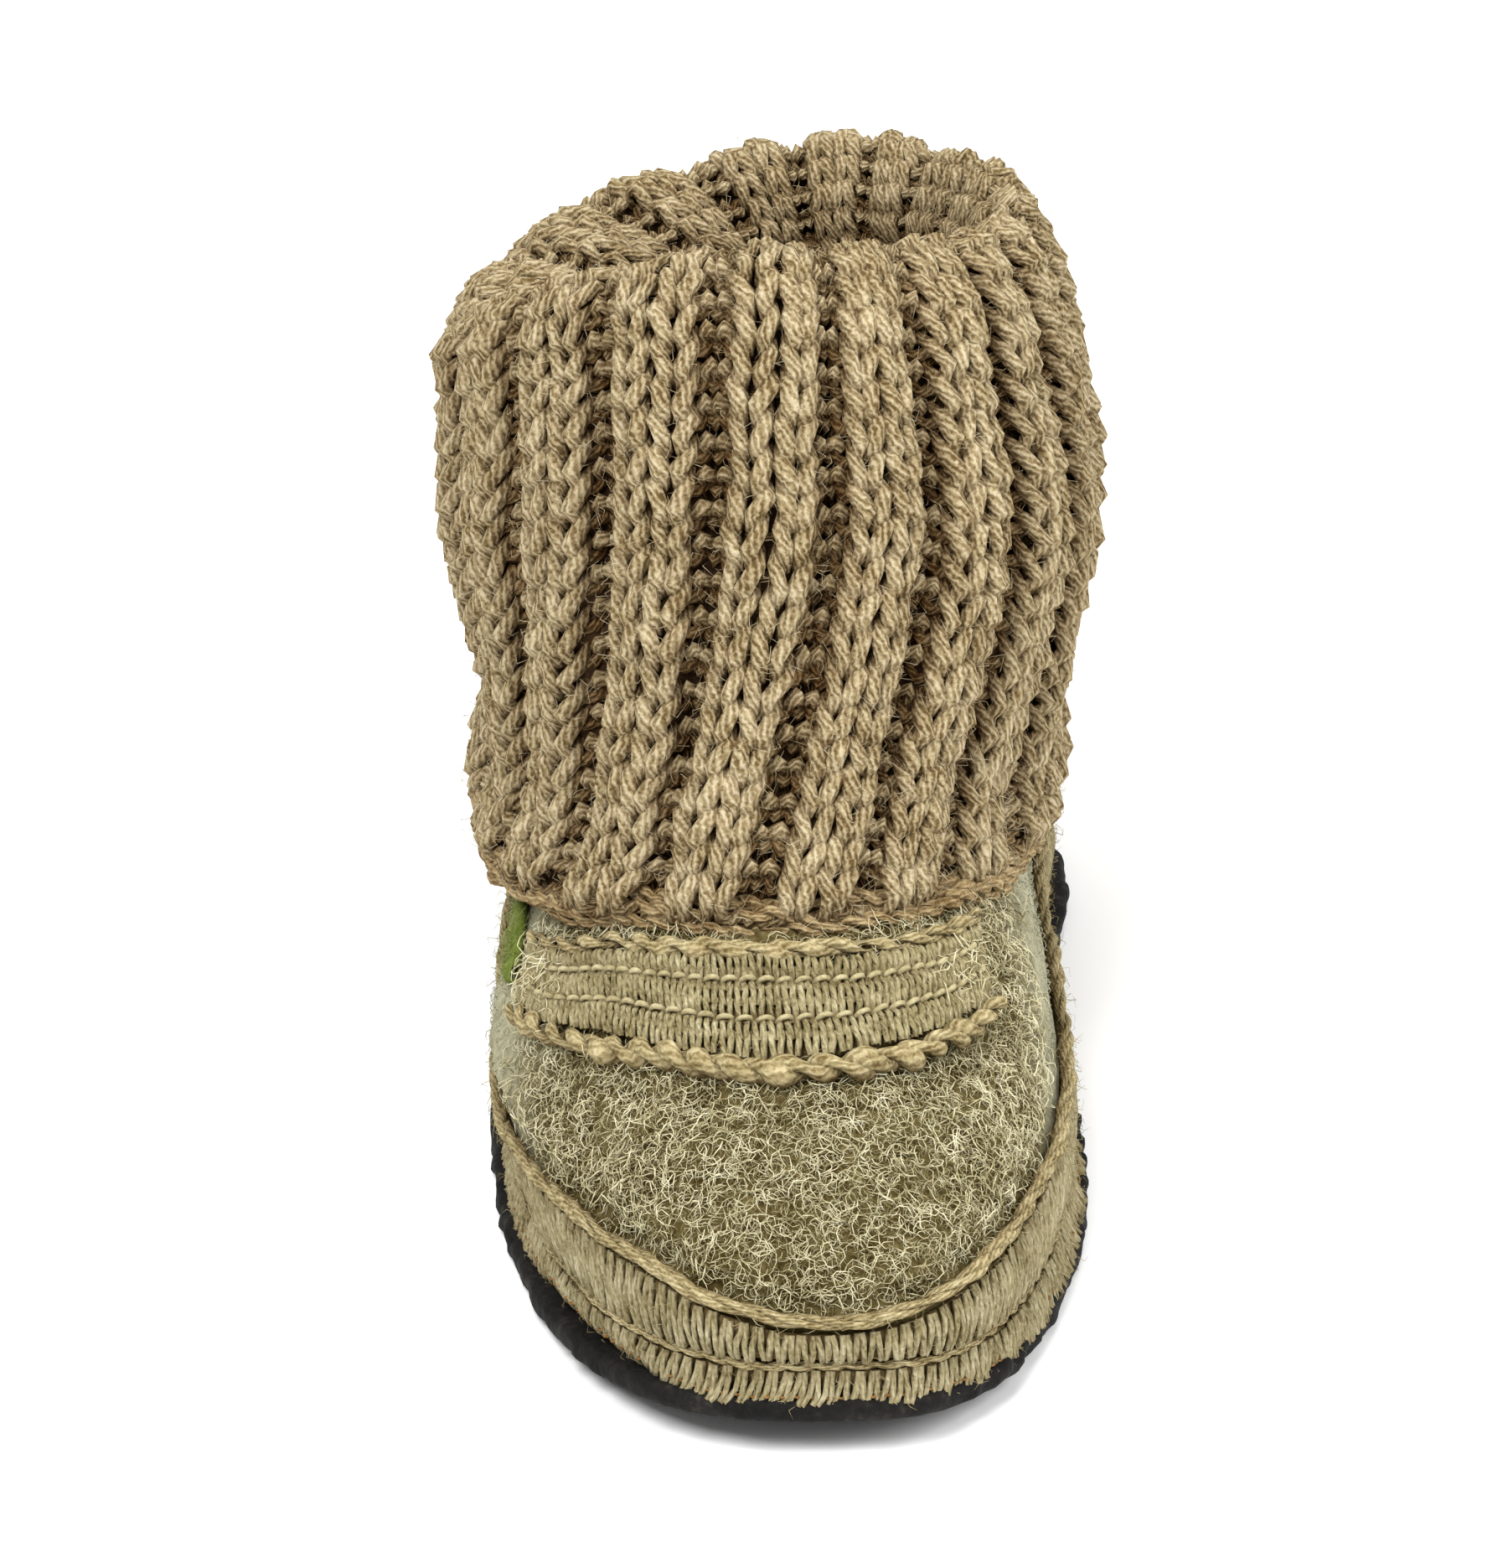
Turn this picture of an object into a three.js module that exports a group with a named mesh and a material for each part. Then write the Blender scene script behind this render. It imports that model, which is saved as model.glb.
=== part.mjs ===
// Ankle-high wool slipper for the right foot: felt upper on a thin rubber sole, ribbed tape rand and instep strip,
// rib-knit cuff folded outward. Millimetres. X points to the inner side of the foot, Y to the heel, Z up.
import * as THREE from "three";

// Foot and sole
const FOOT_LENGTH = 180;
const TOE_Y = -FOOT_LENGTH / 2;
const MIDLINE_X = 1.9;
const GAP = 0.3;
const TOE_SPRING = 5.0;
const SPRING_LENGTH = 46;
const TOE_SWING = 3.6;
const SWING_SHARE = 0.42;
const SOLE_THICKNESS = 3.2;
const SOLE_AROUND = 64;
const PLAN_WIDTH = 36.5;
const SOLE_TOE_SQUARE = 2.75;
const SOLE_HEEL_SQUARE = 3.1;
const ARCH_RISE = 1.2;
const ARCH_FROM = 84;
const ARCH_TO = 130;

// Felt, tape and yarn
const FELT_WALL = 3.0;
const UPPER_DROP = 2;
const UPPER_AROUND = 52;
const UPPER_SWING = 1.6;
const LITTLE_TOE_AT = 60;
const LITTLE_TOE_REACH = 26;
const INSOLE_THICKNESS = 3.0;
const INSOLE_AROUND = 52;
const TAPE_WALL = 1.9;
const RAND_AROUND = 52;
const STRIP_STATIONS = 18;
const EDGE_STATIONS = 30;
const SCALLOP_COUNT = 14;
const SCALLOP_DEPTH = 0.045;
const PATCH_WALL = 1.0;
const PATCH_STATIONS = 12;
const PATCH_BLUNT_END = 0.03;
const PATCH_FULLNESS = 0.7;

// Knit cuff
const RIB_COUNT = 18;
const RIB_DEPTH = 3.0;
const RIB_PHASE = 9.4;
const SHAFT_WALL = 5.2;
const LEG_WALL = 3.6;
const LEG_PLAY = 0.7;
const LEG_FROM_LEVEL = 5.1;
const CROTCH_SPREAD = 0.5;
const CUFF_DROP = 1.3;

const DEGREE = Math.PI / 180;

// Half widths of the sole at shares of its length, before the ends are rounded off.
const SOLE_PLAN = [
  { along: 0.0, medial: 34.5, lateral: 33.5 },
  { along: 0.32, medial: 38.2, lateral: 36.0 },
  { along: 0.6, medial: 34.2, lateral: 36.4 },
  { along: 0.83, medial: 39.6, lateral: 32.8 },
  { along: 1.0, medial: 34.5, lateral: 33.5 },
];

// Edge of the sole from the tread up to the ledge: how far it is drawn in, and its height over the tread.
const SOLE_EDGE = [
  { drawnIn: 1.5, height: 0 },
  { drawnIn: 0.2, height: 0.9 },
  { drawnIn: 0.0, height: 2.2 },
  { drawnIn: 0.7, height: SOLE_THICKNESS },
];

// Outer face of the felt from the sole (first row) to the collar: distances from the toe, half widths, heights.
// Plan is the share of the sole's outline it keeps, bulge how far it swells outward over the little toe.
const UPPER_ROWS = [
  { front: 3.4, back: 175.5, medial: 32.6, lateral: 32.0, frontZ: 3.5, backZ: 3.5, medialZ: 3.5, lateralZ: 3.5,
    toeSquare: 2.72, heelSquare: 3.0, plan: 1.0, bulge: 0 },
  { front: 3.0, back: 176.5, medial: 33.2, lateral: 33.0, frontZ: 12.6, backZ: 13.5, medialZ: 13.0, lateralZ: 13.0,
    toeSquare: 2.72, heelSquare: 3.0, plan: 0.9, bulge: 0.8 },
  { front: 7.3, back: 176.5, medial: 33.0, lateral: 33.2, frontZ: 21.5, backZ: 24.0, medialZ: 20.5, lateralZ: 20.5,
    toeSquare: 2.6, heelSquare: 2.9, plan: 0.9, bulge: 4.0 },
  { front: 19.0, back: 175.5, medial: 31.8, lateral: 31.4, frontZ: 30.5, backZ: 34.0, medialZ: 28.0, lateralZ: 28.0,
    toeSquare: 2.35, heelSquare: 2.65, plan: 0.7, bulge: 2.8 },
  { front: 35.5, back: 173.0, medial: 30.0, lateral: 29.8, frontZ: 38.0, backZ: 42.0, medialZ: 35.5, lateralZ: 35.5,
    toeSquare: 2.1, heelSquare: 2.5, plan: 0.3, bulge: 1.0 },
  { front: 49.5, back: 169.5, medial: 28.6, lateral: 29.6, frontZ: 44.0, backZ: 49.0, medialZ: 42.5, lateralZ: 42.5,
    toeSquare: 2.05, heelSquare: 2.35, plan: 0.1, bulge: 0 },
  { front: 61.0, back: 166.5, medial: 28.0, lateral: 29.2, frontZ: 49.0, backZ: 55.0, medialZ: 49.0, lateralZ: 49.0,
    toeSquare: 2.05, heelSquare: 2.2, plan: 0.0, bulge: 0 },
];
const COLLAR_LEVEL = UPPER_ROWS.length - 1;
const UPPER_OUTER_LEVELS = [0, 0.5, 1, 1.5, 2, 2.5, 3, 3.5, 4, 4.6, 5.3, 5.9];
const UPPER_INNER_LEVELS = [5.9, 5.2, 4.4, 3.6, 2.8, 2.0, 1.2, 0.5, 0];

// Face of the knit cuff: up inside the leg, over the fold, down the outside to the turned-down edge.
// Lean shifts the heel end to the inner side, wall is the thickness behind the outside face, ribs the share of
// the rib depth, twist the swing of the ribs in degrees.
const CUFF_ROWS = [
  { front: 73.0, back: 160.0, medial: 22.5, lateral: 24.5, frontZ: 62, backZ: 61, medialZ: 61, lateralZ: 60,
    toeSquare: 2.1, heelSquare: 2.1, lean: 0, wall: 0, ribs: 0, twist: 0 },
  { front: 81.5, back: 152.5, medial: 20.0, lateral: 22.0, frontZ: 78, backZ: 73.5, medialZ: 77, lateralZ: 73,
    toeSquare: 2.1, heelSquare: 2.0, lean: 2, wall: 0, ribs: 0, twist: 0 },
  { front: 88.0, back: 145.0, medial: 18.5, lateral: 17.5, frontZ: 97, backZ: 85, medialZ: 89.5, lateralZ: 83,
    toeSquare: 2.1, heelSquare: 1.95, lean: 7, wall: 0, ribs: 0, twist: 0 },
  { front: 91.0, back: 147.0, medial: 19.0, lateral: 19.5, frontZ: 112, backZ: 95, medialZ: 101, lateralZ: 91,
    toeSquare: 2.1, heelSquare: 1.9, lean: 7, wall: 0, ribs: 0, twist: 0 },
  { front: 87.0, back: 155.0, medial: 26.0, lateral: 36.2, frontZ: 118.5, backZ: 101, medialZ: 108, lateralZ: 95.5,
    toeSquare: 2.1, heelSquare: 1.85, lean: 7, wall: 0, ribs: 0.3, twist: 0 },
  { front: 81.0, back: 160.5, medial: 31.0, lateral: 43.4, frontZ: 115, backZ: 96.5, medialZ: 102.5, lateralZ: 91,
    toeSquare: 2.1, heelSquare: 1.85, lean: 7, wall: 6.0, ribs: 1, twist: 0 },
  { front: 75.0, back: 166.0, medial: 35.0, lateral: 44.0, frontZ: 105, backZ: 86.5, medialZ: 90, lateralZ: 82.5,
    toeSquare: 2.1, heelSquare: 2.0, lean: 4, wall: 6.0, ribs: 1, twist: 0 },
  { front: 67.5, back: 171.0, medial: 38.8, lateral: 43.0, frontZ: 88, backZ: 72.5, medialZ: 70, lateralZ: 66.5,
    toeSquare: 2.15, heelSquare: 2.1, lean: 2, wall: 5.6, ribs: 1, twist: -1 },
  { front: 60.0, back: 174.5, medial: 36.4, lateral: 38.6, frontZ: 70, backZ: 57.5, medialZ: 54, lateralZ: 52.5,
    toeSquare: 2.2, heelSquare: 2.2, lean: 0, wall: 5.2, ribs: 1, twist: -6 },
  { front: 53.3, back: 177.0, medial: 34.4, lateral: 37.0, frontZ: 55, backZ: 46.5, medialZ: 43, lateralZ: 43,
    toeSquare: 2.25, heelSquare: 2.4, lean: 0, wall: 4.6, ribs: 1, twist: -11 },
  { front: 49.2, back: 178.6, medial: 35.2, lateral: 40.0, frontZ: 45.6, backZ: 39, medialZ: 34.5, lateralZ: 29.6,
    toeSquare: 2.25, heelSquare: 2.5, lean: 0, wall: 3.4, ribs: 0.6, twist: -14 },
];
const CUFF_BOTTOM_LEVEL = CUFF_ROWS.length - 1;
const CUFF_FACE_LEVELS = [0, 1, 2, 2.6, 3.2, 3.6, 4, 4.4, 5, 5.6, 6.2, 7, 7.6, 8.2, 8.8, 9.4, 10];
const FLAP_BACK_LEVELS = [9.4, 8.6, 7.8, 7, 6.2];
const SHAFT_BACK_LEVELS = [2.5, 1.8, 1, 0];
const LIP_ROUND = 0.8;
const RIB_SHAPE = [
  { phase: 0.1, depth: 1 },
  { phase: 0.24, depth: 0 },
  { phase: 0.76, depth: 0 },
  { phase: 0.9, depth: 1 },
];

// Tapes and yarns of the rand: upper's level at their edges or centre, and their share of the rand's climb.
const RAND_LOWER = { from: 0.06, to: 0.46, climb: 0 };
const RAND_UPPER = { from: 0.6, to: 0.9, climb: 1 };
const RAND_CORD = { level: 0.53, radius: 0.7, climb: 0, corners: 4 };
const RAND_ROPE = { level: 1.075, radius: 1.15, climb: 1, corners: 5 };

// Climb of the rand's upper edge from the toe to the sides: turn from the toe in degrees, levels of the upper.
const RAND_CLIMB = [
  { turn: -180, climb: 0.05 },
  { turn: -150, climb: 0.05 },
  { turn: -120, climb: 0.08 },
  { turn: -90, climb: 0.12 },
  { turn: -60, climb: 0.54 },
  { turn: -30, climb: 0.44 },
  { turn: 0, climb: 0.02 },
  { turn: 30, climb: 0.42 },
  { turn: 60, climb: 0.72 },
  { turn: 90, climb: 0.74 },
  { turn: 120, climb: 0.42 },
  { turn: 150, climb: 0.15 },
  { turn: 180, climb: 0.05 },
];

// Section of a tape: share of its width, share of its thickness.
const TAPE_SECTION = [
  { across: 0, out: 0 },
  { across: 0.04, out: 0.75 },
  { across: 0.5, out: 1 },
  { across: 0.96, out: 0.75 },
  { across: 1, out: 0 },
  { across: 0.67, out: 0 },
  { across: 0.33, out: 0 },
];

// Instep strip: turn from the toe in degrees, upper's level at its lower and upper edge.
const STRIP_ROWS = [
  { turn: -66, low: 3.02, high: 3.52 },
  { turn: -37.5, low: 3.58, high: 4.3 },
  { turn: -9, low: 3.72, high: 4.69 },
  { turn: 19.5, low: 3.78, high: 4.6 },
  { turn: 48, low: 3.66, high: 4.3 },
];
const STRIP_EDGE_LOW = { beyond: -0.16, radius: 1.25, corners: 5 };
const STRIP_EDGE_HIGH = { beyond: 0.1, radius: 0.85, corners: 5 };

// Felt leaf sewn on the outer side: turns of its ends in degrees, level of its midline and half height.
const PATCH_TURN_FROM = -86;
const PATCH_TURN_TO = -72;
const PATCH_LEVEL = 3.0;
const PATCH_HALF_HEIGHT = 0.32;

function ease(share) {
  return share * share * (3 - 2 * share);
}

function mix(from, to, share) {
  return from + (to - from) * share;
}

// Value of a table's column, eased from row to row.
function lookUp(rows, key, at, column) {
  const last = rows.length - 2;
  let i = 0;
  while (i < last && at > rows[i + 1][key]) i += 1;
  const a = rows[i];
  const b = rows[i + 1];
  const share = Math.min(Math.max((at - a[key]) / (b[key] - a[key]), 0), 1);
  return mix(a[column], b[column], ease(share));
}

// A row between the rows of a table, all columns run through smoothly.
function rowAt(rows, level) {
  const i = Math.min(Math.max(Math.floor(level), 0), rows.length - 2);
  const f = level - i;
  const a = rows[Math.max(i - 1, 0)];
  const b = rows[i];
  const c = rows[i + 1];
  const d = rows[Math.min(i + 2, rows.length - 1)];
  const row = {};
  for (const column of Object.keys(b)) {
    const bend = 2 * a[column] - 5 * b[column] + 4 * c[column] - d[column];
    const turn = 3 * b[column] - a[column] - 3 * c[column] + d[column];
    row[column] = 0.5 * (2 * b[column] + (c[column] - a[column]) * f + bend * f ** 2 + turn * f ** 3);
  }
  return row;
}

function spring(fromToe) {
  return TOE_SPRING * Math.max(1 - fromToe / SPRING_LENGTH, 0) ** 2;
}

function arch(fromToe) {
  const share = (fromToe - ARCH_FROM) / (ARCH_TO - ARCH_FROM);
  if (share <= 0 || share >= 1) return 0;
  return ARCH_RISE * Math.sin(Math.PI * share) ** 2;
}

// Share along the length and across the width for a turn round a squared oval; turn 0 is the toe.
function ovalShares(turn, toeSquare, heelSquare) {
  const c = Math.cos(turn);
  const s = Math.sin(turn);
  const power = 2 / (c > 0 ? toeSquare : heelSquare);
  const along = 0.5 - 0.5 * Math.sign(c) * Math.abs(c) ** power;
  const across = Math.sign(s) * Math.abs(s) ** power;
  return { along, across };
}

function planShare(along, side) {
  return lookUp(SOLE_PLAN, "along", along, side) / PLAN_WIDTH;
}

function toeSwing(fromToe, swing) {
  const share = Math.max(1 - fromToe / (SWING_SHARE * FOOT_LENGTH), 0);
  return swing * share ** 2;
}

// Point of a ring given by a row of sizes; its height drops from the ends to the sides.
function ringPoint(row, turn, swing, drop) {
  const { along, across } = ovalShares(turn, row.toeSquare, row.heelSquare);
  const side = across >= 0 ? "medial" : "lateral";
  const fromToe = mix(row.front, row.back, along);
  const fullness = row.plan ? mix(1, planShare(fromToe / FOOT_LENGTH, side), row.plan) : 1;
  const sideZ = across >= 0 ? row.medialZ : row.lateralZ;
  const endZ = Math.cos(turn) > 0 ? row.frontZ : row.backZ;
  const lean = row.lean ? row.lean * along ** 2 : 0;
  const x = MIDLINE_X + row[side] * fullness * across + toeSwing(fromToe, swing) + lean;
  const z = mix(sideZ, endZ, Math.abs(Math.cos(turn)) ** drop) + spring(fromToe);
  return new THREE.Vector3(x, TOE_Y + fromToe, z);
}

function upperPoint(turn, level) {
  const row = rowAt(UPPER_ROWS, level);
  const point = ringPoint(row, turn, TOE_SWING + UPPER_SWING, UPPER_DROP);
  const away = (point.y - TOE_Y - LITTLE_TOE_AT) / LITTLE_TOE_REACH;
  point.x += Math.min(Math.sin(turn), 0) * row.bulge * Math.exp(-(away ** 2));
  return point;
}

// Point a set way out from (or in from) the felt's outer face.
function offUpper(turn, level, out) {
  const step = 0.01;
  const high = Math.min(level + step, COLLAR_LEVEL);
  const low = Math.max(level - step, 0);
  const around = upperPoint(turn + step, level).sub(upperPoint(turn - step, level));
  const up = upperPoint(turn, high).sub(upperPoint(turn, low));
  const normal = around.cross(up).normalize();
  return upperPoint(turn, level).addScaledVector(normal, out);
}

// Turns that stand about evenly along the foot's outline, the same on both sides.
function evenTurns(count) {
  const fineSteps = 600;
  const lengths = [0];
  let before = ovalShares(0, SOLE_TOE_SQUARE, SOLE_HEEL_SQUARE);
  for (let i = 1; i <= fineSteps; i += 1) {
    const now = ovalShares((Math.PI * i) / fineSteps, SOLE_TOE_SQUARE, SOLE_HEEL_SQUARE);
    const run = FOOT_LENGTH * (now.along - before.along);
    const rise = PLAN_WIDTH * (now.across - before.across);
    lengths.push(lengths[i - 1] + Math.hypot(run, rise));
    before = now;
  }
  const half = [];
  for (let k = 0; k <= count / 2; k += 1) {
    const wanted = (lengths[fineSteps] * k) / (count / 2);
    let i = 1;
    while (i < fineSteps && lengths[i] < wanted) i += 1;
    const share = (wanted - lengths[i - 1]) / (lengths[i] - lengths[i - 1]);
    half.push((Math.PI * (i - 1 + share)) / fineSteps);
  }
  const back = half.slice(1, -1).reverse();
  return [...half, ...back.map((turn) => 2 * Math.PI - turn)];
}

function geometryOf(points, faces) {
  const geometry = new THREE.BufferGeometry();
  geometry.setAttribute("position", new THREE.Float32BufferAttribute(points.flatMap((p) => [p.x, p.y, p.z]), 3));
  geometry.setIndex(faces);
  geometry.computeVertexNormals();
  return geometry;
}

// Faces between rings of the same count, from each ring to the next.
function skin(ringCount, around, closed) {
  const faces = [];
  const bands = closed ? ringCount : ringCount - 1;
  for (let r = 0; r < bands; r += 1) {
    const a = r * around;
    const b = ((r + 1) % ringCount) * around;
    for (let k = 0; k < around; k += 1) {
      const n = (k + 1) % around;
      faces.push(a + k, a + n, b + n, a + k, b + n, b + k);
    }
  }
  return faces;
}

// Hollow piece: rings closed on themselves and joined last to first.
function hollowSolid(rings) {
  return geometryOf(rings.flat(), skin(rings.length, rings[0].length, true));
}

// Slab: rings from its lower edge to its upper edge, each end closed straight across from side to side.
function slabSolid(rings) {
  const around = rings[0].length;
  const faces = skin(rings.length, around, false);
  const top = (rings.length - 1) * around;
  for (let k = 0; k < around / 2; k += 1) {
    const n = k + 1;
    const farK = (around - k) % around;
    const farN = around - n;
    if (k > 0) {
      faces.push(k, farK, farN);
      faces.push(top + k, top + farN, top + farK);
    }
    if (n < around / 2) {
      faces.push(k, farN, n);
      faces.push(top + k, top + n, top + farN);
    }
  }
  return geometryOf(rings.flat(), faces);
}

// Bar: sections one after another from its inner-side end, closed at both ends.
function barSolid(fromOuterSide) {
  const sections = [...fromOuterSide].reverse();
  const count = sections[0].length;
  const faces = skin(sections.length, count, false);
  const end = (sections.length - 1) * count;
  for (let k = 1; k < count - 1; k += 1) {
    faces.push(0, k + 1, k);
    faces.push(end, end + k, end + k + 1);
  }
  return geometryOf(sections.flat(), faces);
}

const slipper = new THREE.Group();

function addPiece(name, geometry, color, roughness) {
  const material = new THREE.MeshStandardMaterial({ color, roughness, metalness: 0 });
  const mesh = new THREE.Mesh(geometry, material);
  mesh.name = name;
  slipper.add(mesh);
}

// Outsole
function solePoint(turn, drawnIn, height) {
  const { along, across } = ovalShares(turn, SOLE_TOE_SQUARE, SOLE_HEEL_SQUARE);
  const side = across >= 0 ? "medial" : "lateral";
  const fromToe = mix(drawnIn, FOOT_LENGTH - drawnIn, along);
  const half = lookUp(SOLE_PLAN, "along", along, side) - drawnIn;
  const x = MIDLINE_X + half * across + toeSwing(fromToe, TOE_SWING);
  const tread = spring(fromToe) + arch(fromToe) * Math.max(1 - height / SOLE_THICKNESS, 0);
  return new THREE.Vector3(x, TOE_Y + fromToe, tread + height);
}
const soleTurns = evenTurns(SOLE_AROUND);
const soleRings = SOLE_EDGE.map((edge) => soleTurns.map((turn) => solePoint(turn, edge.drawnIn, edge.height)));
addPiece("outsole", slabSolid(soleRings), 0x2a2a2a, 0.8);

// Insole
const insoleTurns = evenTurns(INSOLE_AROUND);
function insoleRing(height) {
  return insoleTurns.map((turn) => {
    const point = offUpper(turn, 0, -FELT_WALL - GAP);
    point.z = SOLE_THICKNESS + GAP + height + spring(point.y - TOE_Y);
    return point;
  });
}
addPiece("insole", slabSolid([insoleRing(0), insoleRing(INSOLE_THICKNESS)]), 0xa79a7d, 0.95);

// Felt upper
const upperTurns = evenTurns(UPPER_AROUND);
function upperRing(level, out) {
  return upperTurns.map((turn) => offUpper(turn, level, out));
}
const footRing = upperRing(0, -FELT_WALL).map((point, k) => point.setZ(upperPoint(upperTurns[k], 0).z));
const upperRings = [
  ...UPPER_OUTER_LEVELS.map((level) => upperRing(level, 0)),
  upperRing(COLLAR_LEVEL, -FELT_WALL / 2),
  ...UPPER_INNER_LEVELS.slice(0, -1).map((level) => upperRing(level, -FELT_WALL)),
  footRing,
];
addPiece("upper", hollowSolid(upperRings), 0x9a8b66, 0.95);

// Rand
const randTurns = evenTurns(RAND_AROUND);
function randClimb(turn) {
  const degrees = Math.atan2(Math.sin(turn), Math.cos(turn)) / DEGREE;
  const first = RAND_CLIMB[0].turn;
  return rowAt(RAND_CLIMB, (degrees - first) / (RAND_CLIMB[1].turn - first)).climb;
}
function tapeRings(tape) {
  return TAPE_SECTION.map((corner) =>
    randTurns.map((turn) => {
      const level = mix(tape.from, tape.to + tape.climb * randClimb(turn), corner.across);
      return offUpper(turn, level, GAP + TAPE_WALL * corner.out);
    }),
  );
}
addPiece("rand_lower", hollowSolid(tapeRings(RAND_LOWER)), 0x9b8a63, 0.95);
addPiece("rand_upper", hollowSolid(tapeRings(RAND_UPPER)), 0x9b8a63, 0.95);

// Round yarn laid on the upper: centre held off the felt by its own radius.
function yarnSection(turn, level, { radius, corners }) {
  const step = 0.02;
  const centre = offUpper(turn, level, GAP + radius);
  const out = offUpper(turn, level, GAP + 2 * radius).sub(centre);
  const up = upperPoint(turn, level + step).sub(upperPoint(turn, level - step));
  up.addScaledVector(out, -up.dot(out) / out.lengthSq()).setLength(radius);
  const section = [];
  for (let k = 0; k < corners; k += 1) {
    const angle = (2 * Math.PI * k) / corners;
    const point = centre.clone().addScaledVector(out, Math.cos(angle)).addScaledVector(up, Math.sin(angle));
    section.push(point);
  }
  return section;
}
function yarnLoop(yarn) {
  const sections = randTurns.map((turn) => {
    const level = yarn.level + yarn.climb * randClimb(turn);
    return yarnSection(turn, level, yarn);
  });
  return Array.from({ length: yarn.corners }, (_, k) => sections.map((section) => section[k]));
}
addPiece("rand_cord", hollowSolid(yarnLoop(RAND_CORD)), 0xa8926a, 0.9);
addPiece("rand_rope", hollowSolid(yarnLoop(RAND_ROPE)), 0xa8926a, 0.9);

// Instep strip and its edges
const stripFrom = STRIP_ROWS[0].turn;
const stripTo = STRIP_ROWS[STRIP_ROWS.length - 1].turn;
function stripLevel(turnDegrees, column) {
  const share = (turnDegrees - stripFrom) / (stripTo - stripFrom);
  return rowAt(STRIP_ROWS, share * (STRIP_ROWS.length - 1))[column];
}
const stripSections = [];
for (let i = 0; i <= STRIP_STATIONS; i += 1) {
  const turn = mix(stripFrom, stripTo, i / STRIP_STATIONS);
  const low = stripLevel(turn, "low");
  const high = stripLevel(turn, "high");
  stripSections.push(
    TAPE_SECTION.map((corner) =>
      offUpper(turn * DEGREE, mix(low, high, corner.across), GAP + TAPE_WALL * corner.out),
    ),
  );
}
addPiece("instep_strip", barSolid(stripSections), 0x9f9069, 0.95);

function stripEdge(edge, column, scallop) {
  const sections = [];
  for (let i = 0; i <= EDGE_STATIONS; i += 1) {
    const share = i / EDGE_STATIONS;
    const turn = mix(stripFrom, stripTo, share);
    const wave = scallop * Math.cos(2 * Math.PI * SCALLOP_COUNT * share);
    const level = stripLevel(turn, column) + edge.beyond + wave;
    sections.push(yarnSection(turn * DEGREE, level, edge));
  }
  return barSolid(sections);
}
addPiece("strip_edge_low", stripEdge(STRIP_EDGE_LOW, "low", SCALLOP_DEPTH), 0xa8996f, 0.95);
addPiece("strip_edge_high", stripEdge(STRIP_EDGE_HIGH, "high", 0), 0xa8996f, 0.95);

// Knit cuff
function cuffPoint(level, turn, inset) {
  const row = rowAt(CUFF_ROWS, level);
  row.front += inset;
  row.back -= inset;
  row.medial -= inset;
  row.lateral -= inset;
  return ringPoint(row, turn + row.twist * DEGREE, 0, CUFF_DROP);
}
const ribTurns = [];
for (let rib = 0; rib < RIB_COUNT; rib += 1) {
  for (const corner of RIB_SHAPE) {
    const turn = (RIB_PHASE + ((rib + corner.phase) * 360) / RIB_COUNT) * DEGREE;
    ribTurns.push({ turn, depth: corner.depth });
  }
}
function cuffFace(level) {
  const share = rowAt(CUFF_ROWS, level).ribs;
  return ribTurns.map((rib) => cuffPoint(level, rib.turn, RIB_DEPTH * share * rib.depth));
}
function flapBack(level) {
  const wall = rowAt(CUFF_ROWS, level).wall;
  return ribTurns.map((rib) => cuffPoint(level, rib.turn, wall));
}
function shaftBack(level) {
  return ribTurns.map((rib) => cuffPoint(level, rib.turn, -SHAFT_WALL));
}
function legRing(level, out) {
  return ribTurns.map((rib) => offUpper(rib.turn, level, out));
}
const legOut = -FELT_WALL - LEG_PLAY;
const legIn = legOut - LEG_WALL;
const lowerLip = cuffFace(CUFF_BOTTOM_LEVEL);
const lipBack = flapBack(CUFF_BOTTOM_LEVEL).map((point) => point.setZ(point.z + LIP_ROUND));
const flapTop = flapBack(FLAP_BACK_LEVELS[FLAP_BACK_LEVELS.length - 1]);
const shaftTop = shaftBack(SHAFT_BACK_LEVELS[0]);
const crotch = flapTop.map((point, k) => {
  const middle = point.clone().lerp(shaftTop[k], 0.5);
  return middle.setZ(Math.max(point.z, shaftTop[k].z) + CROTCH_SPREAD);
});
const cuffRings = [
  legRing(LEG_FROM_LEVEL, legIn),
  legRing(COLLAR_LEVEL, legIn),
  ...CUFF_FACE_LEVELS.slice(0, -1).map((level) => cuffFace(level)),
  lowerLip,
  lipBack,
  ...FLAP_BACK_LEVELS.map((level) => flapBack(level)),
  crotch,
  ...SHAFT_BACK_LEVELS.map((level) => shaftBack(level)),
  legRing(COLLAR_LEVEL, legOut),
  legRing(LEG_FROM_LEVEL, legOut),
];
addPiece("knit_cuff", hollowSolid(cuffRings.reverse()), 0xa58e66, 0.95);

// Side patch
const patchSections = [];
for (let i = 0; i <= PATCH_STATIONS; i += 1) {
  const share = mix(PATCH_BLUNT_END, 1 - PATCH_BLUNT_END, i / PATCH_STATIONS);
  const turn = mix(PATCH_TURN_FROM, PATCH_TURN_TO, share) * DEGREE;
  const half = PATCH_HALF_HEIGHT * Math.sin(Math.PI * share) ** PATCH_FULLNESS;
  patchSections.push(
    TAPE_SECTION.map((corner) =>
      offUpper(turn, PATCH_LEVEL + half * (2 * corner.across - 1), GAP + PATCH_WALL * corner.out),
    ),
  );
}
addPiece("side_patch", barSolid(patchSections), 0x7d9a4a, 0.95);

export default slipper;
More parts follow.
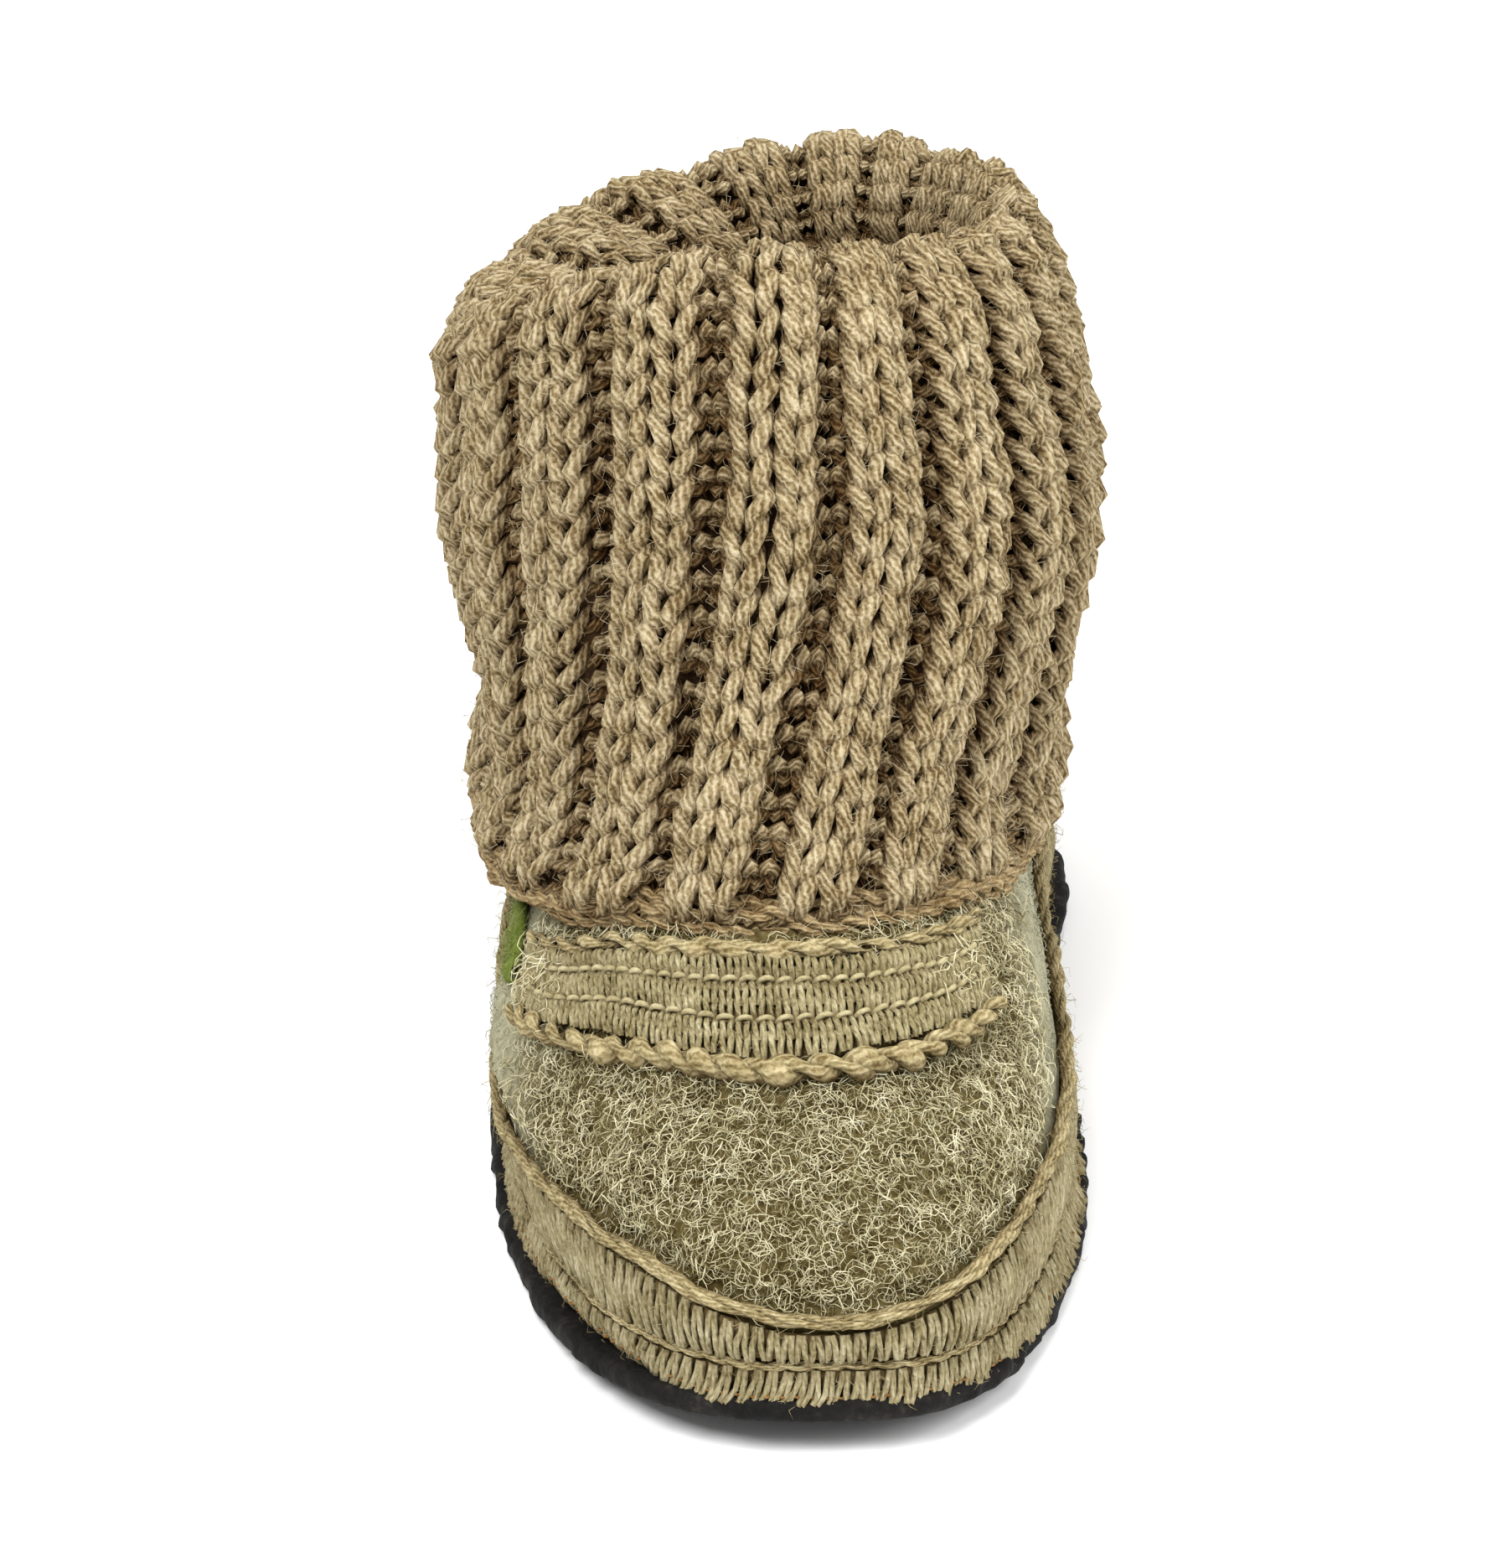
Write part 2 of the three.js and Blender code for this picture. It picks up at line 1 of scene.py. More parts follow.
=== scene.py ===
import bmesh
import bpy
import numpy as np
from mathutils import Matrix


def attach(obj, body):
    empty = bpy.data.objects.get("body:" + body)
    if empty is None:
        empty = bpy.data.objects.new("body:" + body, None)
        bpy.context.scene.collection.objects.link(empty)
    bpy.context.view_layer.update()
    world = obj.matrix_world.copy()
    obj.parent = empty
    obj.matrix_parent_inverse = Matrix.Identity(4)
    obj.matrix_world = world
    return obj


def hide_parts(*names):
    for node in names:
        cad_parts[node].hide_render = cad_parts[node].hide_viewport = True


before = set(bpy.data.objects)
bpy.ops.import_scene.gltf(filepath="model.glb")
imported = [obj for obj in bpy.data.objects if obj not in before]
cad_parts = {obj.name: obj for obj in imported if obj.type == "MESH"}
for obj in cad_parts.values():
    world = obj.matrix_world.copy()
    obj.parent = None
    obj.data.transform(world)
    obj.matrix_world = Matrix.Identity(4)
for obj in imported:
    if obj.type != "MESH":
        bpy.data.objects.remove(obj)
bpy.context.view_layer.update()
scene = bpy.context.scene

# Outsole
# Thin moulded rubber, near black and pebbled all over, cemented under the felt. Its rough edge shows as a
# narrow ledge round the foot, and the toe springs up off the floor.
MILLIMETRE = 0.001
FOOT_LENGTH = 180.0
TOE_Y = -FOOT_LENGTH / 2
MIDLINE_X = 1.9
TOE_SPRING = 5.0
SPRING_LENGTH = 46.0
TOE_SWING = 3.6
SWING_LENGTH = 75.6
ARCH_RISE = 1.2
ARCH_FROM = 84.0
ARCH_TO = 130.0
SOLE_THICKNESS = 3.2
SOLE_TOE_SQUARE = 2.75
SOLE_HEEL_SQUARE = 3.1
SOLE_STATIONS = 230
SOLE_EDGE_POINTS = 22
SOLE_ACROSS = 14
PEBBLE_SIZE = 2.0
PEBBLE_DEPTH = 0.6
WAVE_SIZE = 8.0
WAVE_DEPTH = 0.45
TREAD_SIZE = 2.4
TREAD_DEPTH = 0.4
EDGE_FADE = 4
LEDGE_HEIGHT = 2.5
LEDGE_LIFT = 0.6
FINE_TURNS = 1201


def table(columns, *rows):
    return {name: np.array(values, float) for name, values in zip(columns.split(), zip(*rows))}


SOLE_PLAN = table(
    "along medial lateral",
    (0.0, 34.5, 33.5),
    (0.32, 38.2, 36.0),
    (0.6, 34.2, 36.4),
    (0.83, 39.6, 32.8),
    (1.0, 34.5, 33.5),
)
SOLE_EDGE = table(
    "drawn_in height",
    (1.5, 0.0),
    (0.5, 0.4),
    (0.1, 1.0),
    (0.0, 2.0),
    (0.2, 2.8),
    (0.8, 3.2),
    (3.5, 3.2),
    (7.0, 3.2),
)


def eased(share):
    return share * share * (3 - 2 * share)


def plan_half(along, medial):
    stations = SOLE_PLAN["along"]
    index = np.clip(np.searchsorted(stations, along) - 1, 0, len(stations) - 2)
    share = eased(np.clip((along - stations[index]) / (stations[index + 1] - stations[index]), 0, 1))
    near = np.where(medial, SOLE_PLAN["medial"][index], SOLE_PLAN["lateral"][index])
    far = np.where(medial, SOLE_PLAN["medial"][index + 1], SOLE_PLAN["lateral"][index + 1])
    return near + (far - near) * share


def oval_shares(turn, toe_square, heel_square):
    ahead = np.cos(turn)
    aside = np.sin(turn)
    power = 2 / np.where(ahead > 0, toe_square, heel_square)
    along = 0.5 - 0.5 * np.sign(ahead) * np.abs(ahead) ** power
    across = np.sign(aside) * np.abs(aside) ** power
    return along, across


def toe_spring(from_toe):
    return TOE_SPRING * np.maximum(1 - from_toe / SPRING_LENGTH, 0) ** 2


def toe_swing(from_toe, swing):
    return swing * np.maximum(1 - from_toe / SWING_LENGTH, 0) ** 2


def sole_point(turn, drawn_in, height):
    along, across = oval_shares(turn, SOLE_TOE_SQUARE, SOLE_HEEL_SQUARE)
    from_toe = drawn_in + (FOOT_LENGTH - 2 * drawn_in) * along
    half = plan_half(along, across >= 0) - drawn_in
    arch_share = np.clip((from_toe - ARCH_FROM) / (ARCH_TO - ARCH_FROM), 0, 1)
    arch = ARCH_RISE * np.sin(np.pi * arch_share) ** 2 * np.maximum(1 - height / SOLE_THICKNESS, 0)
    x = MIDLINE_X + half * across + toe_swing(from_toe, TOE_SWING)
    return np.stack(np.broadcast_arrays(x, TOE_Y + from_toe, toe_spring(from_toe) + arch + height), axis=-1)


def distances(steps):
    return np.concatenate([[0], np.cumsum(steps)])


def half_turns(count):
    fine = np.linspace(0, np.pi, FINE_TURNS)
    along, across = oval_shares(fine, SOLE_TOE_SQUARE, SOLE_HEEL_SQUARE)
    runs = np.hypot(np.diff(along) * FOOT_LENGTH, np.diff(across) * SOLE_PLAN["medial"][0])
    length = distances(runs)
    return np.interp(np.linspace(0, length[-1], count + 1), length, fine)


def edge_path(edge, count):
    steps = np.hypot(np.diff(edge["drawn_in"]), np.diff(edge["height"]))
    run = distances(steps)
    at = np.linspace(0, run[-1], count)
    return np.interp(at, run, edge["drawn_in"]), np.interp(at, run, edge["height"])


SEED_SHIFT = 31.7
SCATTER = np.array([73856093, 19349663, 83492791])
STIR = 2654435761
STIR_SHIFT = 13
STIR_TOP = 0xFFFF


def lumps(points, size, seed):
    cell = points / size + SEED_SHIFT * seed
    corner = np.floor(cell).astype(np.int64)
    share = eased(cell - corner)
    total = np.zeros(points.shape[:-1])
    for step in np.ndindex(2, 2, 2):
        mixed = np.bitwise_xor.reduce((corner + np.array(step)) * SCATTER, axis=-1)
        mixed = (mixed * STIR >> STIR_SHIFT) & STIR_TOP
        weight = np.prod(np.where(np.array(step) == 1, share, 1 - share), axis=-1)
        total += weight * (2 * mixed / STIR_TOP - 1)
    return total


def grid_faces(rows, columns, wrap_rows):
    row = np.arange(rows if wrap_rows else rows - 1)[:, None]
    column = np.arange(columns)[None]
    beside = (column + 1) % columns
    here = row * columns
    there = (row + 1) % rows * columns
    corners = [here + column, here + beside, there + beside, there + column]
    return np.stack(corners, axis=-1).reshape(-1, 4)


SEAM_REACH = 1e-6


def new_mesh(name, points, edges, faces):
    mesh = bpy.data.meshes.new(name)
    mesh.from_pydata((points.reshape(-1, 3) * MILLIMETRE).tolist(), edges, faces)
    return mesh


def write_field(mesh, name, values, kind="FLOAT", word="value"):
    layer = mesh.attributes.new(name, kind, "POINT")
    layer.data.foreach_set(word, np.ascontiguousarray(values, np.float32).ravel())


def new_piece(name, points, faces, **fields):
    mesh = new_mesh(name, points, [], faces.tolist())
    for field, values in fields.items():
        write_field(mesh, field, np.broadcast_to(values, points.shape[:2]))
    joined = bmesh.new()
    joined.from_mesh(mesh)
    bmesh.ops.remove_doubles(joined, verts=joined.verts, dist=SEAM_REACH)
    joined.to_mesh(mesh)
    joined.free()
    mesh.shade_smooth()
    piece = bpy.data.objects.new(name, mesh)
    scene.collection.objects.link(piece)
    return piece


def new_slab(name, left_edge, right_edge, across, tread_depth, top_depth):
    share = np.linspace(0, 1, across)[None, 1:-1, None]
    under = left_edge[:, :1] * (1 - share) + right_edge[:, :1] * share
    over = right_edge[:, -1:] * (1 - share) + left_edge[:, -1:] * share
    under[..., 2] += tread_depth * np.maximum(lumps(under, TREAD_SIZE, seed=5), 0)
    over[..., 2] += top_depth * lumps(over, TREAD_SIZE, seed=6)
    loops = np.concatenate([under, right_edge, over, left_edge[:, ::-1]], axis=1)
    faces = grid_faces(loops.shape[0], loops.shape[1], False)
    return new_piece(name, loops, faces[:, ::-1])


def paint(red, green, blue):
    share = np.array([red, green, blue]) / 255
    linear = np.where(share <= 0.04045, share / 12.92, ((share + 0.055) / 1.055) ** 2.4)
    return (*linear.tolist(), 1.0)


def node(tree, kind, inputs, **settings):
    made = tree.nodes.new(kind)
    for key, value in settings.items():
        setattr(made, key, value)
    for key, value in inputs.items():
        if isinstance(value, bpy.types.NodeSocket):
            tree.links.new(value, made.inputs[key])
        else:
            made.inputs[key].default_value = value
    return made


def arithmetic(tree, operation, *values):
    return node(tree, "ShaderNodeMath", dict(enumerate(values)), operation=operation).outputs[0]


TONE_STOPS = (0.3, 0.7)
GRAIN_DETAIL = 3.0
GRAIN_STRENGTH = 0.8
SHEEN_ROUGHNESS = 0.5
DULL_SHINE = 0.12
MIX_FIRST_COLOUR = 6
MIX_SECOND_COLOUR = 7
MIX_COLOUR_OUT = 2


def tone_ramp(tree, factor, tones):
    ramp = node(tree, "ShaderNodeValToRGB", {"Fac": factor})
    stops = np.linspace(*TONE_STOPS, len(tones))
    while len(ramp.color_ramp.elements) < len(tones):
        ramp.color_ramp.elements.new(0.5)
    for element, stop, tone in zip(ramp.color_ramp.elements, stops, tones):
        element.position = stop
        element.color = paint(*tone)
    return ramp.outputs["Color"]


def noise(tree, place, size, detail):
    inputs = {"Vector": place, "Scale": 1 / MILLIMETRE / size, "Detail": detail}
    return node(tree, "ShaderNodeTexNoise", inputs).outputs["Fac"]


def new_surface(name, tones, patch, grain, relief, roughness=0.95, sheen=0.1, other=None):
    material = bpy.data.materials.new(name)
    material.use_nodes = True
    tree = material.node_tree
    shader = tree.nodes["Principled BSDF"]
    place = node(tree, "ShaderNodeTexCoord", {}).outputs["Object"]
    broad = noise(tree, place, patch, GRAIN_DETAIL)
    fine = noise(tree, place, grain, GRAIN_DETAIL)
    both = arithmetic(tree, "ADD", broad, fine)
    factor = arithmetic(tree, "MULTIPLY", both, 0.5)
    colour = tone_ramp(tree, factor, tones)
    if other:
        other_tones, other_field = other
        share = node(tree, "ShaderNodeAttribute", {}, attribute_name=other_field).outputs["Fac"]
        mixed = node(tree, "ShaderNodeMix", {0: share}, data_type="RGBA")
        tree.links.new(colour, mixed.inputs[MIX_FIRST_COLOUR])
        tree.links.new(tone_ramp(tree, factor, other_tones), mixed.inputs[MIX_SECOND_COLOUR])
        colour = mixed.outputs[MIX_COLOUR_OUT]
    tree.links.new(colour, shader.inputs["Base Color"])
    inputs = {"Height": fine, "Strength": GRAIN_STRENGTH, "Distance": relief * MILLIMETRE}
    bump = node(tree, "ShaderNodeBump", inputs)
    tree.links.new(bump.outputs["Normal"], shader.inputs["Normal"])
    shader.inputs["Roughness"].default_value = roughness
    shader.inputs["Sheen Weight"].default_value = sheen
    shader.inputs["Sheen Roughness"].default_value = SHEEN_ROUGHNESS
    if sheen:
        tree.links.new(colour, shader.inputs["Sheen Tint"])
        tree.links.new(colour, shader.inputs["Specular Tint"])
    shader.inputs["Specular IOR Level"].default_value = DULL_SHINE
    return material


def dress(piece, material, slot, *nodes):
    if material:
        piece.data.materials.clear()
        piece.data.materials.append(material)
    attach(piece, "root")
    if nodes:
        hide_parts(*nodes)


def sole_edge_points(turns):
    drawn_in, height = edge_path(SOLE_EDGE, SOLE_EDGE_POINTS)
    smooth = sole_point(turns[:, None], drawn_in[None], height[None])
    fade = np.minimum(np.arange(SOLE_EDGE_POINTS), np.arange(SOLE_EDGE_POINTS)[::-1]) / EDGE_FADE
    pebbles = PEBBLE_DEPTH * lumps(smooth, PEBBLE_SIZE, seed=1)
    waves = WAVE_DEPTH * lumps(smooth, WAVE_SIZE, seed=2)
    rough = (pebbles + waves) * np.minimum(fade, 1)
    lifted = LEDGE_LIFT * rough * (height > LEDGE_HEIGHT)
    return sole_point(turns[:, None], drawn_in[None] - rough, height[None] + lifted)


sole_turns = half_turns(SOLE_STATIONS)
sole_edges = [sole_edge_points(side * sole_turns) for side in (-1, 1)]
outsole = new_slab("outsole_rubber", *sole_edges, SOLE_ACROSS, tread_depth=TREAD_DEPTH, top_depth=0.0)
RUBBER_TONES = [(8, 8, 8), (16, 15, 14), (26, 24, 22), (52, 47, 41)]
rubber = new_surface(
    "pebbled rubber", RUBBER_TONES, patch=9.0, grain=1.2, relief=0.5, roughness=0.72, sheen=0.0
)
dress(outsole, rubber, "sole_rubber", "outsole")

# Felt upper
# One shell of thick boiled wool felt drawn over the last, open at the collar. The front is shaggy with curled
# fibre, the sides are worn smoother and greyer, and soft troughs follow the trims and the flex of the toes.
FELT_WALL = 3.0
UPPER_SWING = TOE_SWING + 1.6
UPPER_DROP = 2.0
COLLAR_LEVEL = 6.0
PLAN_WIDTH = 36.5
FELT_AROUND = 280
FELT_OUTER_ROWS = 76
FELT_COLLAR_ROWS = 5
FELT_INNER_ROWS = 16
COLLAR_ROUND = 0.9
LITTLE_TOE_AT = 60.0
LITTLE_TOE_REACH = 26.0
UPPER = table(
    "front back medial lateral front_z back_z medial_z lateral_z toe_square heel_square plan bulge",
    (3.4, 175.5, 32.6, 32.0, 3.5, 3.5, 3.5, 3.5, 2.72, 3.0, 1.0, 0.0),
    (3.0, 176.5, 33.2, 33.0, 12.6, 13.5, 13.0, 13.0, 2.72, 3.0, 0.9, 0.8),
    (7.3, 176.5, 33.0, 33.2, 21.5, 24.0, 20.5, 20.5, 2.6, 2.9, 0.9, 4.0),
    (19.0, 175.5, 31.8, 31.4, 30.5, 34.0, 28.0, 28.0, 2.35, 2.65, 0.7, 2.8),
    (35.5, 173.0, 30.0, 29.8, 38.0, 42.0, 35.5, 35.5, 2.1, 2.5, 0.3, 1.0),
    (49.5, 169.5, 28.6, 29.6, 44.0, 49.0, 42.5, 42.5, 2.05, 2.35, 0.1, 0.0),
    (61.0, 166.5, 28.0, 29.2, 49.0, 55.0, 49.0, 49.0, 2.05, 2.2, 0.0, 0.0),
)
STRIP_FROM = -66.0
STRIP_TO = 48.0
STRIP = table("low high", (3.02, 3.52), (3.58, 4.3), (3.72, 4.69), (3.78, 4.6), (3.66, 4.3))
RAND_CLIMB = {
    "climb": np.array([0.05, 0.05, 0.08, 0.12, 0.54, 0.44, 0.02, 0.42, 0.72, 0.74, 0.42, 0.15, 0.05])
}
CLIMB_STEP = 30.0
FELT_LUMPS = table("size depth", (7.0, 0.5), (3.2, 0.55), (1.6, 0.3))
FELT_SEED = 11
FLEX_CREASES = table(
    "turn_from level_from turn_to level_to width depth",
    (-58.0, 3.0, -40.0, 1.5, 3.2, 0.8),
    (-74.0, 3.4, -60.0, 1.6, 3.6, 0.7),
    (56.0, 3.0, 42.0, 1.6, 3.0, 0.7),
    (72.0, 3.2, 64.0, 1.7, 3.6, 0.6),
)
CREASE_END = 0.3
ROPE_CLEAR = 1.2
RELIEF_TOP = 5.0
RELIEF_SOFT = 0.5
SIDE_RELIEF = 0.45
FRONT_RELIEF = {"half": 62.0, "soft": 24.0}
ROPE_TROUGH = {"level": 1.3, "width": 0.12, "depth": 0.8}
STRIP_TROUGH = {"below": 0.42, "width": 0.14, "depth": 0.55, "soft": 10.0}
VAMP = {"half": 64.0, "soft": 20.0}
NAP_TOP = 4.25
VAMP_NAP_RISE = 0.7
NAP_SOFT = 0.2
STRIP_HEM = 0.1
STRIP_SOFT = 6.0


def row_at(rows, level):
    level = np.asarray(level, float)
    last = len(next(iter(rows.values()))) - 1
    index = np.clip(np.floor(level).astype(int), 0, last - 1)
    share = level - index
    row = {}
    for name, values in rows.items():
        a = values[np.maximum(index - 1, 0)]
        b = values[index]
        c = values[index + 1]
        d = values[np.minimum(index + 2, last)]
        bend = 2 * a - 5 * b + 4 * c - d
        turn = 3 * b - a - 3 * c + d
        row[name] = 0.5 * (2 * b + (c - a) * share + bend * share**2 + turn * share**3)
    return row


def ring_point(row, turn, swing, drop):
    along, across = oval_shares(turn, row["toe_square"], row["heel_square"])
    medial = across >= 0
    from_toe = row["front"] + (row["back"] - row["front"]) * along
    fullness = 1 + (plan_half(from_toe / FOOT_LENGTH, medial) / PLAN_WIDTH - 1) * row.get("plan", 0)
    half = np.where(medial, row["medial"], row["lateral"])
    side_z = np.where(medial, row["medial_z"], row["lateral_z"])
    end_z = np.where(np.cos(turn) > 0, row["front_z"], row["back_z"])
    x = MIDLINE_X + half * fullness * across + toe_swing(from_toe, swing) + row.get("lean", 0) * along**2
    z = side_z + (end_z - side_z) * np.abs(np.cos(turn)) ** drop + toe_spring(from_toe)
    return np.stack(np.broadcast_arrays(x, TOE_Y + from_toe, z), axis=-1)


def upper_point(turn, level):
    row = row_at(UPPER, level)
    point = ring_point(row, turn, UPPER_SWING, UPPER_DROP)
    away = (point[..., 1] - TOE_Y - LITTLE_TOE_AT) / LITTLE_TOE_REACH
    point[..., 0] += np.minimum(np.sin(turn), 0) * row["bulge"] * np.exp(-(away**2))
    return point


def unit(vectors):
    return vectors / np.linalg.norm(vectors, axis=-1, keepdims=True)


def upper_face(turn, level):
    step = 0.01
    around = upper_point(turn + step, level) - upper_point(turn - step, level)
    high = upper_point(turn, np.minimum(level + step, COLLAR_LEVEL))
    low = upper_point(turn, np.maximum(level - step, 0))
    return unit(np.cross(around, high - low))


def off_upper(turn, level, out):
    turn, level, out = np.broadcast_arrays(turn, level, out)
    return upper_point(turn, level) + upper_face(turn, level) * out[..., None]


def even_turns(count):
    half = half_turns(count // 2)
    return np.concatenate([half, 2 * np.pi - half[-2:0:-1]])


def strip_level(turn_degrees, column):
    share = (turn_degrees - STRIP_FROM) / (STRIP_TO - STRIP_FROM)
    return row_at(STRIP, np.clip(share, 0, 1) * (len(STRIP[column]) - 1))[column]


def signed_degrees(turn):
    return (np.degrees(turn) + 180) % 360 - 180


def rand_climb(turn):
    return row_at(RAND_CLIMB, (signed_degrees(turn) + 180) / CLIMB_STEP)["climb"]


def bump_between(value, low, high, soft):
    rise = eased(np.clip((value - low) / soft + 0.5, 0, 1))
    fall = eased(np.clip((high - value) / soft + 0.5, 0, 1))
    return rise * fall


def crease_depth(points):
    depth = np.zeros(points.shape[:-1])
    for crease in zip(*FLEX_CREASES.values()):
        turn_from, level_from, turn_to, level_to, width, deep = crease
        start = upper_point(np.radians(turn_from), level_from)
        end = upper_point(np.radians(turn_to), level_to)
        run = end - start
        share = np.clip((points - start) @ run / (run @ run), 0, 1)
        away = np.linalg.norm(points - start - share[..., None] * run, axis=-1)
        trough = deep * np.exp(-((away / width) ** 2))
        depth += trough * (CREASE_END + (1 - CREASE_END) * np.sin(np.pi * share))
    return depth


def felt_relief(turn, level):
    smooth = upper_point(turn, level)
    degrees = signed_degrees(turn)
    rough = np.zeros(smooth.shape[:-1])
    for seed, (size, depth) in enumerate(zip(*FELT_LUMPS.values()), FELT_SEED):
        rough += depth * lumps(smooth, size, seed)
    climb = rand_climb(turn)
    open_felt = bump_between(level, ROPE_CLEAR + climb, RELIEF_TOP, RELIEF_SOFT)
    front = bump_between(degrees, -FRONT_RELIEF["half"], FRONT_RELIEF["half"], FRONT_RELIEF["soft"])
    calm = SIDE_RELIEF + (1 - SIDE_RELIEF) * front
    from_rope = (level - climb - ROPE_TROUGH["level"]) / ROPE_TROUGH["width"]
    by_rope = ROPE_TROUGH["depth"] * np.exp(-(from_rope**2))
    from_strip = (level - strip_level(degrees, "low") + STRIP_TROUGH["below"]) / STRIP_TROUGH["width"]
    by_strip = STRIP_TROUGH["depth"] * np.exp(-(from_strip**2))
    by_strip = by_strip * bump_between(degrees, STRIP_FROM, STRIP_TO, STRIP_TROUGH["soft"])
    return rough * open_felt * calm - by_rope - by_strip - crease_depth(smooth) * open_felt


felt_turns = even_turns(FELT_AROUND)[None]
outer_levels = np.linspace(0, COLLAR_LEVEL, FELT_OUTER_ROWS)[:, None]
inner_levels = np.linspace(COLLAR_LEVEL, 0, FELT_INNER_ROWS)[:, None]
felt_outer = off_upper(felt_turns, outer_levels, felt_relief(felt_turns, outer_levels))
collar_share = np.linspace(0, 1, FELT_COLLAR_ROWS + 2)[1:-1, None]
collar_out = -FELT_WALL * (1 - np.cos(np.pi * collar_share)) / 2
felt_collar = off_upper(felt_turns, COLLAR_LEVEL, collar_out)
felt_collar[..., 2] += COLLAR_ROUND * np.sin(np.pi * collar_share)
felt_inner = off_upper(felt_turns, inner_levels, -FELT_WALL)
felt_inner[-1, :, 2] = felt_outer[0, :, 2]
felt_points = np.concatenate([felt_outer, felt_collar, felt_inner])
felt_rows = len(felt_points)
felt_degrees = signed_degrees(felt_turns) + 0 * outer_levels
vamp_share = bump_between(felt_degrees, -VAMP["half"], VAMP["half"], VAMP["soft"])
nap_top = NAP_TOP + VAMP_NAP_RISE * vamp_share
open_share = bump_between(outer_levels, ROPE_CLEAR + rand_climb(felt_turns), nap_top, NAP_SOFT)
strip_low = strip_level(felt_degrees, "low") - STRIP_HEM
strip_cover = bump_between(outer_levels, strip_low, strip_level(felt_degrees, "high"), NAP_SOFT)
strip_cover = strip_cover * bump_between(felt_degrees, STRIP_FROM, STRIP_TO, STRIP_SOFT)
hidden_rows = np.zeros((felt_rows - FELT_OUTER_ROWS, FELT_AROUND))
vamp_nap = np.concatenate([vamp_share * open_share * (1 - strip_cover), hidden_rows])
quarter_nap = np.concatenate([(1 - vamp_share) * open_share, hidden_rows])
quarter_share = np.concatenate([1 - vamp_share, hidden_rows + 1])
felt_faces = grid_faces(felt_rows, FELT_AROUND, True)
felt_fields = {"vamp_nap": vamp_nap, "quarter_nap": quarter_nap, "quarter": quarter_share}
upper_felt = new_piece("upper_felt", felt_points, felt_faces, **felt_fields)
VAMP_TONES = [(42, 33, 14), (68, 57, 31), (94, 83, 51), (120, 109, 74)]
QUARTER_TONES = [(115, 108, 83), (143, 139, 113), (158, 155, 130), (176, 173, 149)]
felt_surface = new_surface(
    "boiled wool felt", VAMP_TONES, patch=6.0, grain=0.9, relief=0.5, other=(QUARTER_TONES, "quarter")
)
dress(upper_felt, felt_surface, "upper_felt", "upper")

# Nap of the felt
# Loose wool ends that stand out of the felt: long curled ones all over the front, short sparse ones on the
# sides. They are part of the felt itself, pulled up by wear and washing.
CURL = {"length": 4.2, "radius": 0.078, "points": 5, "rise": 0.9, "bend": 0.75}
TUFT = {"length": 2.0, "radius": 0.07, "points": 4, "rise": 0.8, "bend": 0.7}
VAMP_CURLS = 1.25
SHORT_CURLS = 1.1
DEEP_CURLS = 1.05
QUARTER_TUFTS = 0.44
CURL_SWEEP = (2.0, 4.2)
CURL_WANDER = 0.5
CURL_ROOT = -0.04
CURL_LOW = 0.06
CURL_LIFT = 0.2
CURL_WAVES = (0.8, 1.5)
CURL_LIFT_SPREAD = (0.6, 1.1)
CURL_TAPER = 0.75
FIBRE_CORNERS = (90, 210, 330)
NAP_SPREAD = (0.6, 1.3)
SQUARE_MILLIMETRES = 1e6
SHAPE_INPUTS = ("First curl", "Second curl", "Third curl")

# Where a Random Value node keeps its least value and its result for each kind of value.
RANDOM_SOCKETS = {"FLOAT_VECTOR": (0, 0), "FLOAT": (2, 1), "INT": (4, 2)}


def new_tree(name, sockets):
    tree = bpy.data.node_groups.new(name, "GeometryNodeTree")
    tree.interface.new_socket("Geometry", in_out="INPUT", socket_type="NodeSocketGeometry")
    for label, kind in sockets.items():
        tree.interface.new_socket(label, in_out="INPUT", socket_type="NodeSocket" + kind)
    tree.interface.new_socket("Geometry", in_out="OUTPUT", socket_type="NodeSocketGeometry")
    return tree


def grown_piece(name, source, tree, values):
    holder = bpy.data.objects.new(name + "_base", source)
    scene.collection.objects.link(holder)
    grower = holder.modifiers.new("grow", "NODES")
    grower.node_group = tree
    for item in tree.interface.items_tree:
        if item.in_out == "INPUT" and item.name in values:
            grower[item.identifier] = values[item.name]
    graph = bpy.context.evaluated_depsgraph_get()
    mesh = bpy.data.meshes.new_from_object(holder.evaluated_get(graph), depsgraph=graph)
    bpy.data.objects.remove(holder)
    mesh.name = name
    piece = bpy.data.objects.new(name, mesh)
    scene.collection.objects.link(piece)
    return piece


def finish_tree(tree, geometry, material):
    whole = node(tree, "GeometryNodeRealizeInstances", {"Geometry": geometry})
    coloured = node(tree, "GeometryNodeSetMaterial", {"Geometry": whole.outputs[0], "Material": material})
    node(tree, "NodeGroupOutput", {"Geometry": coloured.outputs[0]})


